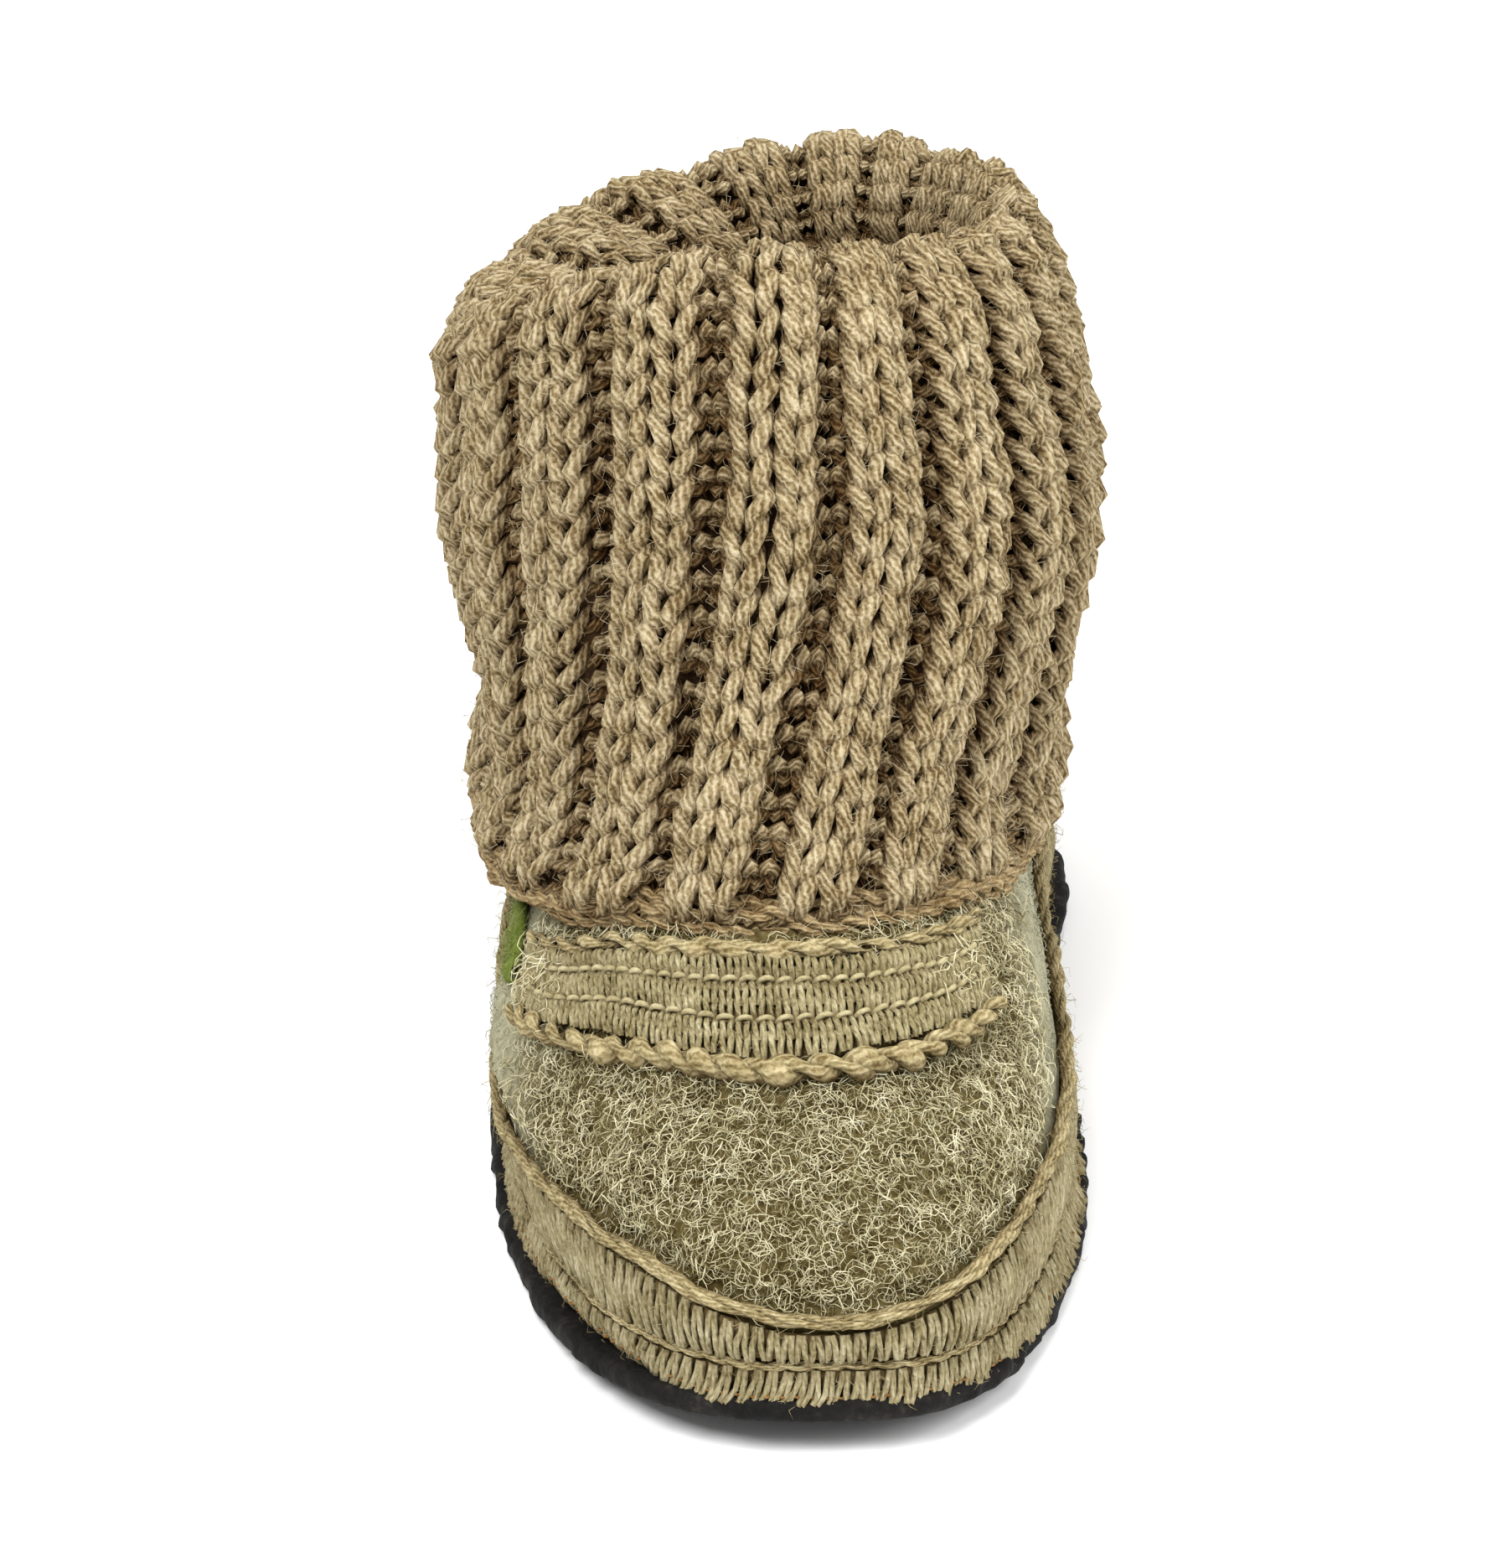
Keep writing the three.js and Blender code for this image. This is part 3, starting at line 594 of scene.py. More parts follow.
def curl_shape(name, seed, curl):
    rng = np.random.default_rng(seed)
    count = curl["points"]
    share = np.linspace(0, 1, count)
    bend = curl["bend"] * rng.uniform(*CURL_SWEEP) * rng.choice([-1, 1])
    heading = bend * share + curl["bend"] * rng.uniform(-CURL_WANDER, CURL_WANDER, count)
    steps = np.stack([np.cos(heading), np.sin(heading)], axis=-1) / count
    flat = np.concatenate([[[0.0, 0.0]], np.cumsum(steps, axis=0)[:-1]])
    wave = np.sin(np.pi * share * rng.uniform(*CURL_WAVES))
    rise = CURL_LOW + CURL_LIFT * curl["rise"] * wave * rng.uniform(*CURL_LIFT_SPREAD)
    rise[0] = CURL_ROOT
    centre = np.column_stack([flat, rise]) * curl["length"]
    radius = curl["radius"] * (1 - CURL_TAPER * share**2)
    side = np.stack([-np.sin(heading), np.cos(heading), 0 * heading], axis=-1)
    corners = np.radians(FIBRE_CORNERS)[None, :, None]
    ring = side[:, None] * np.cos(corners) + np.array([0, 0, 1.0]) * np.sin(corners)
    points = centre[:, None] + ring * radius[:, None, None]
    sides = len(FIBRE_CORNERS)
    faces = grid_faces(count, sides, False)[:, ::-1].tolist()
    tip = sides * (count - 1)
    faces += [[0, 1, 2], [tip + 2, tip + 1, tip]]
    mesh = new_mesh(name, points, [], faces)
    mesh.shade_smooth()
    return bpy.data.objects.new(name, mesh)


def random_value(tree, kind, least, most, seed):
    first, result = RANDOM_SOCKETS[kind]
    inputs = {first: least, first + 1: most, "Seed": seed}
    return node(tree, "FunctionNodeRandomValue", inputs, data_type=kind).outputs[result]


def nap_tree():
    tree = new_tree(
        "wool nap",
        {
            "Where": "String", "Per area": "Float", "Length": "Float", "Lean": "Float", "Seed": "Int",
            **dict.fromkeys(SHAPE_INPUTS, "Object"), "Material": "Material",
        },
    )
    given = node(tree, "NodeGroupInput", {}).outputs
    share = node(tree, "GeometryNodeInputNamedAttribute", {"Name": given["Where"]}, data_type="FLOAT")
    density = arithmetic(tree, "MULTIPLY", given["Per area"], share.outputs[0])
    inputs = {"Mesh": given["Geometry"], "Density": density, "Seed": given["Seed"]}
    roots = node(tree, "GeometryNodeDistributePointsOnFaces", inputs, distribute_method="RANDOM")
    curls = node(tree, "GeometryNodeJoinGeometry", {})
    for label in reversed(SHAPE_INPUTS):
        curl = node(tree, "GeometryNodeObjectInfo", {"Object": given[label], "As Instance": True})
        tree.links.new(curl.outputs["Geometry"], curls.inputs[0])
    backward = arithmetic(tree, "MULTIPLY", given["Lean"], -1.0)
    low = node(tree, "ShaderNodeCombineXYZ", {0: backward, 1: backward, 2: 0.0})
    high = node(tree, "ShaderNodeCombineXYZ", {0: given["Lean"], 1: given["Lean"], 2: 2 * np.pi})
    swirl = random_value(tree, "FLOAT_VECTOR", low.outputs[0], high.outputs[0], given["Seed"])
    swirl_turn = node(tree, "FunctionNodeEulerToRotation", {0: swirl})
    inputs = {"Rotation": roots.outputs["Rotation"], "Rotate By": swirl_turn.outputs[0]}
    laid = node(tree, "FunctionNodeRotateRotation", inputs, rotation_space="LOCAL")
    which = random_value(tree, "INT", 0, len(SHAPE_INPUTS) - 1, given["Seed"])
    spread = random_value(tree, "FLOAT", *NAP_SPREAD, given["Seed"])
    size = arithmetic(tree, "MULTIPLY", spread, given["Length"])
    placed = node(
        tree,
        "GeometryNodeInstanceOnPoints",
        {
            "Points": roots.outputs["Points"], "Instance": curls.outputs[0], "Pick Instance": True,
            "Instance Index": which, "Rotation": laid.outputs[0], "Scale": size,
        },
    )
    finish_tree(tree, placed.outputs[0], given["Material"])
    return tree


nap_maker = nap_tree()


def three_shapes(kind, fibre, first_seed):
    words = ("loose", "round", "hooked")
    return [curl_shape(kind + word, seed, fibre) for seed, word in enumerate(words, first_seed)]


curls = three_shapes("curl_", CURL, first_seed=3)
tufts = three_shapes("tuft_", TUFT, first_seed=13)


def grow_nap(name, base, where, per_area, shapes, material, slot, seed, length=1.0, lean=0.5):
    values = {
        "Where": where, "Per area": per_area * SQUARE_MILLIMETRES,
        "Length": length, "Lean": lean, "Seed": seed,
        **dict(zip(SHAPE_INPUTS, shapes)), "Material": material,
    }
    piece = grown_piece(name, base.copy(), nap_maker, values)
    dress(piece, None, slot)
    return piece


CURL_TONES = [(120, 109, 71), (184, 175, 137), (217, 210, 176), (233, 227, 199)]
curl_surface = new_surface("curled wool ends", CURL_TONES, patch=5.0, grain=1.1, relief=0.1)
# Painted shade: a second layer of the same curls, shorter and lower, in darker tones that stand for the shade
# down among the curls.
SHADED_CURL_TONES = [(66, 56, 28), (102, 90, 55), (134, 122, 83), (160, 149, 110)]
shaded_curl_surface = new_surface(
    "shaded wool ends", SHADED_CURL_TONES, patch=5.0, grain=1.1, relief=0.1, sheen=0.05
)
GREY_CURL_TONES = [(123, 119, 94), (149, 147, 123), (166, 164, 141), (184, 182, 160)]
grey_curl_surface = new_surface("worn wool ends", GREY_CURL_TONES, patch=5.0, grain=1.1, relief=0.1)
felt_mesh = upper_felt.data
vamp = [felt_mesh, "vamp_nap"]
quarters = [felt_mesh, "quarter_nap"]
grow_nap("vamp_nap", *vamp, VAMP_CURLS, curls, curl_surface, "upper_felt", seed=1, lean=0.25)
grow_nap(
    "vamp_short_nap", *vamp, SHORT_CURLS, curls, curl_surface, "upper_felt", seed=8, length=0.7, lean=0.15
)
grow_nap(
    "vamp_deep_nap", *vamp, DEEP_CURLS, curls, shaded_curl_surface, "upper_felt", seed=5, length=0.8, lean=0.05
)
grow_nap("quarter_nap", *quarters, QUARTER_TUFTS, tufts, grey_curl_surface, "upper_felt", seed=2, lean=0.06)

# Insole
# A flat felt footbed cut to the last and laid on the sole inside the upper. Its edge is rounded over and its
# top is a little uneven, as felt is.
INSOLE_GAP = 0.3
INSOLE_UNEVEN = 0.25
INSOLE_STATIONS = 160
INSOLE_EDGE = table("inset height", (0.0, 0.0), (0.0, 2.3), (0.3, 2.8), (1.0, 3.0))


def insole_edge_points(turns):
    wall = -FELT_WALL - INSOLE_GAP - INSOLE_EDGE["inset"][None]
    points = off_upper(turns[:, None], 0, wall)
    lift = SOLE_THICKNESS + INSOLE_GAP + toe_spring(points[..., 1] - TOE_Y)
    points[..., 2] = lift + INSOLE_EDGE["height"][None]
    return points


insole_turns = half_turns(INSOLE_STATIONS)
insole_edges = [insole_edge_points(side * insole_turns) for side in (-1, 1)]
insole = new_slab("insole_felt", *insole_edges, SOLE_ACROSS, tread_depth=0.0, top_depth=INSOLE_UNEVEN)
FOOTBED_TONES = [(88, 78, 58), (118, 107, 82), (140, 128, 101)]
footbed = new_surface("footbed felt", FOOTBED_TONES, patch=8.0, grain=1.0, relief=0.5, sheen=0.2)
dress(insole, footbed, "footbed_felt", "insole")

# Rand tapes
# Two narrow bands of ribbed knit tape sewn round the foot just above the sole, one over the other. Each is
# a dark backing faced with one row of knit stitches, whose legs make the ribs. Brown thread holds the lower.
TRIM_GAP = 0.3
TAPE_WALL = 1.9
RAND_AROUND = 300
RAND_COLUMNS = 226
LEG_POINTS = 5
RAND_TAPES = table("low high climb drape", (0.06, 0.46, 0.0, 0.85), (0.6, 0.9, 1.0, 0.0))
TAPE_SECTION = table(
    "across out",
    (0.0, 0.0),
    (0.02, 0.3),
    (0.2, 0.42),
    (0.8, 0.42),
    (0.98, 0.3),
    (1.0, 0.0),
    (0.67, 0.0),
    (0.33, 0.0),
)
TAPE_HANGS = table("start end soft share", (-26.0, 96.0, 30.0, 1.0), (-118.0, -62.0, 24.0, 0.7))
HANG_FADE = 1.5
HANG_SPOT = {"drawn_in": 0.1, "height": 2.3}
LEG_SPLIT = 0.25
LEG_ENDS = 0.08
RAND_LEAN = 0.25
RAND_FINE = 8
RIB_OUT = 0.6
RIB_BULGE = 0.75
RIB_SHADE = 0.4
STRAND_STAGGER = 1.7
TWIST_LOOSE = {"size": 10 / 9, "detail": 2.0, "amount": 9.0, "relief": 0.3}
TAPE_YARN = {"radius": 0.45, "sides": 5, "lit": 0.32, "dark": 0.85}
TAPE_THREAD = {"radius": 0.2, "sides": 4, "lit": 0.1, "dark": 0.6}
DASH = {"start": 0.25, "length": 0.5, "across": 0.42, "level": 0.2, "out": 1.3, "bulge": 0.5}

# Stray of a yarn and its unevenness: how much, over what length in millimetres, and the seed.
RIB_STRAY = (0.3, 2.0, 21)
RIB_UNEVEN = (0.22, 2.5, 24)
DASH_STRAY = (0.2, 3.0, 27)


def yarn_tree():
    tree = new_tree("laid yarn", {"Radius": "Float", "Sides": "Int", "Material": "Material"})
    given = node(tree, "NodeGroupInput", {}).outputs
    path = node(tree, "GeometryNodeMeshToCurve", {"Mesh": given["Geometry"]})
    thick = node(tree, "GeometryNodeInputNamedAttribute", {"Name": "thick"}, data_type="FLOAT")
    inputs = {"Resolution": given["Sides"], "Radius": given["Radius"]}
    outline = node(tree, "GeometryNodeCurvePrimitiveCircle", inputs, mode="RADIUS")
    inputs = {"Curve": path.outputs[0], "Profile Curve": outline.outputs[0], "Scale": thick.outputs[0]}
    tube = node(tree, "GeometryNodeCurveToMesh", inputs | {"Fill Caps": True})
    finish_tree(tree, tube.outputs[0], given["Material"])
    return tree


yarn_maker = yarn_tree()


def read_field(mesh, name, word, width):
    values = np.empty(len(mesh.vertices) * width, np.float32)
    mesh.attributes[name].data.foreach_get(word, values)
    return values


def mark_yarn(mesh, paths, yarn):
    sides = yarn["sides"]
    spots = np.empty(len(mesh.vertices) * 3, np.float32)
    mesh.vertices.foreach_get("co", spots)
    rings = spots.reshape(-1, sides, 3) / MILLIMETRE
    out = read_field(mesh, "face", "vector", 3).reshape(-1, sides, 3)
    deep = read_field(mesh, "deep", "value", 1).reshape(-1, sides)
    # Painted shade: each point of the yarn is darkened towards the yarn's shade tones by how far it lies
    # below the lit height; the lint share is what is left unshaded.
    height = ((rings - rings.mean(axis=1, keepdims=True)) * out).sum(axis=-1) + deep
    painted_shade = np.clip((yarn["lit"] - height) / yarn["dark"], 0, 1)
    write_field(mesh, "painted_shade", painted_shade)
    write_field(mesh, "lint", 1 - painted_shade)
    steps = np.linalg.norm(np.diff(paths, axis=1), axis=-1)
    starts = np.arange(len(paths))[:, None] * STRAND_STAGGER
    run = np.cumsum(np.concatenate([starts, steps], axis=1), axis=1)
    angle = 2 * np.pi * np.arange(sides)[None] / sides
    twine = np.broadcast_arrays(np.cos(angle), np.sin(angle), run.reshape(-1, 1))
    write_field(mesh, "twine", np.stack(twine, axis=-1), "FLOAT_VECTOR", "vector")
    for name in ("face", "deep", "thick"):
        mesh.attributes.remove(mesh.attributes[name])


# Ply stripes: the bump gives the plies relief, and the same stripes shift the colour ramp, which is painted
# shade in the grooves and painted highlight on the crests.
def spin(material, plies, lay, groove_shade):
    tree = material.node_tree
    twine = node(tree, "ShaderNodeAttribute", {}, attribute_name="twine").outputs["Vector"]
    parts = node(tree, "ShaderNodeSeparateXYZ", {0: twine}).outputs
    angle = arithmetic(tree, "ARCTAN2", parts[1], parts[0])
    around = arithmetic(tree, "MULTIPLY", angle, float(plies))
    even = arithmetic(tree, "MULTIPLY_ADD", parts[2], 2 * np.pi * plies / lay, around)
    place = node(tree, "ShaderNodeTexCoord", {}).outputs["Object"]
    loose = noise(tree, place, TWIST_LOOSE["size"], TWIST_LOOSE["detail"])
    phase = arithmetic(tree, "MULTIPLY_ADD", loose, TWIST_LOOSE["amount"], even)
    wave = arithmetic(tree, "SINE", phase)
    for kind, label, share in (("VALTORGB", "Fac", groove_shade), ("BUMP", "Height", TWIST_LOOSE["relief"])):
        for target in [each for each in tree.nodes if each.type == kind]:
            plain = target.inputs[label].links[0].from_socket
            spun = arithmetic(tree, "MULTIPLY_ADD", wave, share, plain)
            tree.links.new(spun, target.inputs[label])


# A yarn's material blends from its own tones to darker painted-shade tones where the yarn lies deep.
def new_yarn(name, tones, shade_tones, twist=None, **finish):
    material = new_surface(name, tones, other=(shade_tones, "painted_shade"), **finish)
    if twist:
        spin(material, **twist)
    return material


def lay_yarn(name, paths, face, yarn, material, slot, *nodes, closed=False, thick=1.0, deep=0.0):
    strands, count = paths.shape[:2]
    first = np.arange(strands)[:, None] * count
    here = np.arange(count if closed else count - 1)[None]
    edges = np.stack([first + here, first + (here + 1) % count], axis=-1).reshape(-1, 2)
    mesh = new_mesh(name, paths, edges.tolist(), [])
    each = np.zeros((strands, count))
    write_field(mesh, "thick", thick + each)
    write_field(mesh, "deep", deep + each)
    write_field(mesh, "face", face + each[..., None], "FLOAT_VECTOR", "vector")
    values = {"Radius": yarn["radius"] * MILLIMETRE, "Sides": yarn["sides"], "Material": material}
    piece = grown_piece(name, mesh, yarn_maker, values)
    mark_yarn(piece.data, paths, yarn)
    piece.data.shade_smooth()
    dress(piece, None, slot, *nodes)
    return piece


def strayed(points, *strays):
    moved = points
    for amount, size, seed in strays:
        drift = np.stack([lumps(points, size, seed + axis) for axis in range(3)], axis=-1)
        moved = moved + amount * drift
    return moved


def uneven(points, amount, size, seed):
    return 1 + amount * lumps(points, size, seed)


def vee_legs(columns, rows, reach, lean):
    share = np.linspace(0, 1, LEG_POINTS)
    side = np.array([-1.0, 1.0])[None, None, :, None]
    column = np.arange(columns)[:, None, None, None] + side * (LEG_SPLIT + lean * (share - 0.5))
    row = np.arange(rows)[None, :, None, None] + reach * share
    shape = np.broadcast_shapes(column.shape, row.shape)
    bulge = np.sin(np.pi * (LEG_ENDS + (1 - 2 * LEG_ENDS) * share))
    return [np.broadcast_to(value, shape).reshape(-1, LEG_POINTS) for value in (column, row, bulge)]


def rand_turn_at(column):
    turns = even_turns(RAND_COLUMNS * RAND_FINE)
    turns = np.concatenate([turns[-RAND_FINE:] - 2 * np.pi, turns, 2 * np.pi + turns[:RAND_FINE]])
    return np.interp(column * RAND_FINE, np.arange(len(turns)) - RAND_FINE, turns)


def tape_level(tape, turn, across):
    return tape["low"] + (tape["high"] + tape["climb"] * rand_climb(turn) - tape["low"]) * across


def tape_spot(tape, turn, across, out):
    spot = off_upper(turn, tape_level(tape, turn, across), out)
    degrees = signed_degrees(turn)
    hang = 0
    for start, end, soft, share in zip(*TAPE_HANGS.values()):
        hang = hang + share * bump_between(degrees, start, end, soft)
    hang = hang * np.clip(1 - across, 0, 1) ** HANG_FADE
    return spot + (sole_point(turn, **HANG_SPOT) - spot) * (tape["drape"] * hang)[..., None]


LINT = {"length": 2.6, "radius": 0.04, "points": 3, "rise": 1.1, "bend": 0.6}
LINT_PER_AREA = 0.3
lints = three_shapes("lint_", LINT, first_seed=23)
LINT_TONES = [(120, 107, 70), (158, 146, 108), (182, 171, 133)]
lint_wool = new_surface("lint of the trims", LINT_TONES, patch=5.0, grain=1.0, relief=0.1)
TAPE_TONES = [(60, 47, 28), (92, 78, 50), (118, 104, 72)]
tape_backing = new_surface("tape backing", TAPE_TONES, patch=5.0, grain=0.8, relief=0.4, sheen=0.05)
RIB_TONES = [(100, 88, 56), (138, 127, 94), (160, 150, 118), (186, 177, 147)]
# Painted shade tones that the rib, strip and stitch yarns take where they lie deep.
RIB_SHADE_TONES = [(54, 43, 24), (86, 72, 44), (114, 99, 67)]
TAPE_TWIST = {"plies": 3, "lay": 7.0, "groove_shade": 0.05}
rib_wool = new_yarn("tape rib wool", RIB_TONES, RIB_SHADE_TONES, TAPE_TWIST, patch=3.4, grain=0.7, relief=0.3)
rand_turns = even_turns(RAND_AROUND)[None]
leg_column, leg_row, leg_bulge = vee_legs(RAND_COLUMNS, rows=1, reach=1.0, lean=RAND_LEAN)
leg_turn = rand_turn_at(leg_column)
tapes = [dict(zip(RAND_TAPES, values)) for values in zip(*RAND_TAPES.values())]
for word, tape in zip(("lower", "upper"), tapes):
    level = tape_level(tape, rand_turns, TAPE_SECTION["across"][:, None])
    band = off_upper(rand_turns, level, TRIM_GAP + TAPE_WALL * TAPE_SECTION["out"][:, None])
    backing = new_piece("rand_tape_" + word, band, grid_faces(len(level), RAND_AROUND, True))
    dress(backing, tape_backing, "rand_tape", "rand_" + word)
    legs = tape_spot(tape, leg_turn, leg_row, TRIM_GAP + RIB_OUT + RIB_BULGE * leg_bulge)
    legs = strayed(legs, RIB_STRAY)
    face = upper_face(leg_turn, tape_level(tape, leg_turn, leg_row))
    # Painted shade: the ends of each leg, by RIB_SHADE, and the under side of the yarn are darkened towards
    # the shade tones.
    ribs = lay_yarn(
        "rand_ribs_" + word, legs, face, TAPE_YARN, rib_wool, "rand_tape",
        thick=uneven(legs, *RIB_UNEVEN), deep=RIB_SHADE * (leg_bulge - 1),
    )
    grow_nap("rand_lint_" + word, ribs.data, "lint", LINT_PER_AREA, lints, lint_wool, "rand_tape", seed=9)
dash_share = np.linspace(0, 1, LEG_POINTS)[None]
dash_turn = rand_turn_at(np.arange(RAND_COLUMNS)[:, None] + DASH["start"] + DASH["length"] * dash_share)
dash_out = TRIM_GAP + DASH["out"] + DASH["bulge"] * np.sin(np.pi * dash_share)
dashes = strayed(tape_spot(tapes[0], dash_turn, DASH["across"], dash_out), DASH_STRAY)
THREAD_TONES = [(84, 58, 32), (122, 90, 54), (150, 116, 76)]
# The thread uses the tape's tones as its painted shade on its under side.
brown_thread = new_yarn(
    "brown thread", THREAD_TONES, TAPE_TONES, patch=3.0, grain=0.5, relief=0.1, roughness=0.9, sheen=0.05
)
dash_face = upper_face(dash_turn, DASH["level"])
lay_yarn("rand_thread", dashes, dash_face, TAPE_THREAD, brown_thread, "rand_tape")

# Rand cord and rope
# Plied wool yarn couched along the tapes: a thin cord in the groove between them and a thicker rope that
# covers the join of the upper tape and the felt.
ROPE_POINTS = 520
CORD_LEVEL = 0.53
ROPE_LEVEL = 1.075
CORD = {"radius": 0.6, "strands": 2, "turn": 7.0}
CORD_STRAND = {"radius": 0.38, "sides": 6, "lit": 0.4, "dark": 1.0}
ROPE = {"radius": 1.05, "strands": 3, "turn": 17.0}
ROPE_STRAND = {"radius": 0.58, "sides": 6, "lit": 0.75, "dark": 1.7}
STRAND_REACH = 0.46
ROPE_STRAY_LENGTH = 7.0
ROPE_STRAY_SEED = 31
ROPE_LUMP = 3.6
ROPE_LUMP_SEED = 34


def rope_strands(centre, face, rope, closed):
    if closed:
        ahead = np.roll(centre, -1, axis=0)
        steps = np.linalg.norm(ahead - centre, axis=-1)
        run = np.cumsum(steps) - steps
        turns = np.round(steps.sum() / rope["turn"]) * run / steps.sum()
        along = ahead - np.roll(centre, 1, axis=0)
    else:
        steps = np.linalg.norm(np.diff(centre, axis=0), axis=-1)
        turns = distances(steps) / rope["turn"]
        along = np.gradient(centre, axis=0)
    across = unit(np.cross(unit(along), face))
    angle = 2 * np.pi * (turns[None] + np.arange(rope["strands"])[:, None] / rope["strands"])
    reach = STRAND_REACH * rope["radius"]
    deep = reach * np.cos(angle)
    aside = reach * np.sin(angle)
    return centre[None] + deep[..., None] * face[None] + aside[..., None] * across[None], deep


def lay_rope(
    name, turn, level, rope, strand, material, *nodes, closed=False, sway=0.25, rough=0.28, swell=1.0
):
    centre = off_upper(turn, level, TRIM_GAP + rope["radius"])
    centre = strayed(centre, (sway, ROPE_STRAY_LENGTH, ROPE_STRAY_SEED))
    face = upper_face(turn, level)
    # The strands' depth in the twist also paints shade on the strands that lie behind.
    paths, deep = rope_strands(centre, face, rope, closed)
    thick = swell * uneven(paths, rough, ROPE_LUMP, ROPE_LUMP_SEED)
    return lay_yarn(
        name, paths, face[None], strand, material, "edge_yarn", *nodes, closed=closed, thick=thick, deep=deep
    )


ROPE_TONES = [(96, 80, 49), (136, 122, 86), (160, 146, 109), (186, 173, 136)]
# Painted shade tones for the rope strands that lie deep in the twist.
ROPE_SHADE_TONES = [(44, 32, 17), (76, 60, 35), (104, 86, 56)]
ROPE_TWIST = {"plies": 5, "lay": 9.0, "groove_shade": 0.1}
rope_wool = new_yarn(
    "plied edge yarn", ROPE_TONES, ROPE_SHADE_TONES, ROPE_TWIST, patch=3.0, grain=0.6, relief=0.3
)
rope_turn = np.roll(even_turns(ROPE_POINTS), -ROPE_POINTS // 2)
rope_level = ROPE_LEVEL + rand_climb(rope_turn)
lay_rope("rand_cord_yarn", rope_turn, CORD_LEVEL, CORD, CORD_STRAND, rope_wool, "rand_cord", closed=True)
rope = lay_rope(
    "rand_rope_yarn", rope_turn, rope_level, ROPE, ROPE_STRAND, rope_wool, "rand_rope",
    closed=True, sway=0.5, rough=0.42,
)
grow_nap(
    "rand_rope_lint", rope.data, "lint", LINT_PER_AREA, lints, lint_wool, "edge_yarn", seed=11, length=1.1
)

# Instep strip
# A band of knit tape sewn across the instep, held by two rows of running stitches that pull it in, and edged
# with thick plied yarn below and thinner yarn above.
STRIP_STATIONS = 110
STRIP_ROW_COUNT = 6
STRIP_PITCH = 1.85
STITCH_ROWS = table("across pitch", (0.36, 2.3), (0.76, 2.2))
STITCH_YARN = {"radius": 0.38, "sides": 6, "lit": 0.2, "dark": 0.8}
LOW_EDGE_BEYOND = -0.14
KNOT_PITCH = 4.6
LOW_ROPE = {"radius": 1.7, "strands": 2, "turn": 8.4}
LOW_STRAND = {"radius": 0.98, "sides": 8, "lit": 1.1, "dark": 2.3}
HIGH_EDGE_BEYOND = 0.1
HIGH_ROPE = {"radius": 1.3, "strands": 2, "turn": 10.0}
HIGH_STRAND = {"radius": 0.7, "sides": 8, "lit": 0.8, "dark": 1.7}
STRIP_END = 9.0
STRIP_END_CURLS = 2.4
STRIP_FINE = 400
STRIP_LEG_REACH = 1.4
STRIP_LEG_LEAN = 0.19
STRIP_LEG_START = -0.1
STRIP_LEG_LIMITS = (-0.02, 1.03)
STRIP_RIB_OUT = 1.6
STRIP_RIB_BULGE = 0.5
STRIP_RIB_STRAY = (0.28, 2.2, 41)
STRIP_RIB_UNEVEN = (0.2, 2.5, 44)
PULL_WIDTH = 0.06
PULL_DEPTH = 0.65
STITCH = {"first": 0.8, "points": 7, "share": 0.8, "slant": 0.03, "round": 0.6, "out": 0.9, "bulge": 0.85}
STITCH_SHADE = 0.5
STITCH_STRAY = (0.15, 4.0, 47)
STRIP_EDGE_POINTS = 130
STRIP_EDGE_THIN = 0.66
STRIP_EDGE_SWELL = 0.42
STRIP_EDGE_TIP = 0.04
KNOT_SWELL = 0.28


def strip_levels(degrees, across):
    low = strip_level(degrees, "low")
    return low + (strip_level(degrees, "high") - low) * across


def stitch_pull(across):
    away = across[..., None] - STITCH_ROWS["across"]
    return np.exp(-((away / PULL_WIDTH) ** 2)).sum(axis=-1)


strip_degrees = np.linspace(STRIP_FROM, STRIP_TO, STRIP_STATIONS)[:, None]
strip_out = TRIM_GAP + TAPE_WALL * TAPE_SECTION["out"]
tape_levels = strip_levels(strip_degrees, TAPE_SECTION["across"])
strip_loops = off_upper(np.radians(strip_degrees), tape_levels, strip_out)
strip_faces = grid_faces(STRIP_STATIONS, strip_loops.shape[1], False)[:, ::-1]
strip_ends = 1 - bump_between(strip_degrees, STRIP_FROM + STRIP_END, STRIP_TO - STRIP_END, STRIP_END)
strip_ends = strip_ends * (TAPE_SECTION["out"] > 0)
strip = new_piece("instep_tape", strip_loops, strip_faces, ends=strip_ends)
dress(strip, tape_backing, "strip_tape", "instep_strip")
grow_nap(
    "strip_end_nap", strip.data, "ends", STRIP_END_CURLS, curls, curl_surface, "strip_tape",
    seed=6, length=1.2, lean=0.3,
)
fine_degrees = np.linspace(STRIP_FROM, STRIP_TO, STRIP_FINE)
middle_line = upper_point(np.radians(fine_degrees), strip_levels(fine_degrees, 0.5))
middle_run = distances(np.linalg.norm(np.diff(middle_line, axis=0), axis=-1))
strip_columns = int(middle_run[-1] / STRIP_PITCH)
leg_column, leg_row, leg_bulge = vee_legs(strip_columns, STRIP_ROW_COUNT, STRIP_LEG_REACH, STRIP_LEG_LEAN)
leg_degrees = np.interp((leg_column + 0.5) * middle_run[-1] / strip_columns, middle_run, fine_degrees)
leg_across = np.clip((leg_row + STRIP_LEG_START) / STRIP_ROW_COUNT, *STRIP_LEG_LIMITS)
leg_level = strip_levels(leg_degrees, leg_across)
leg_turn = np.radians(leg_degrees)
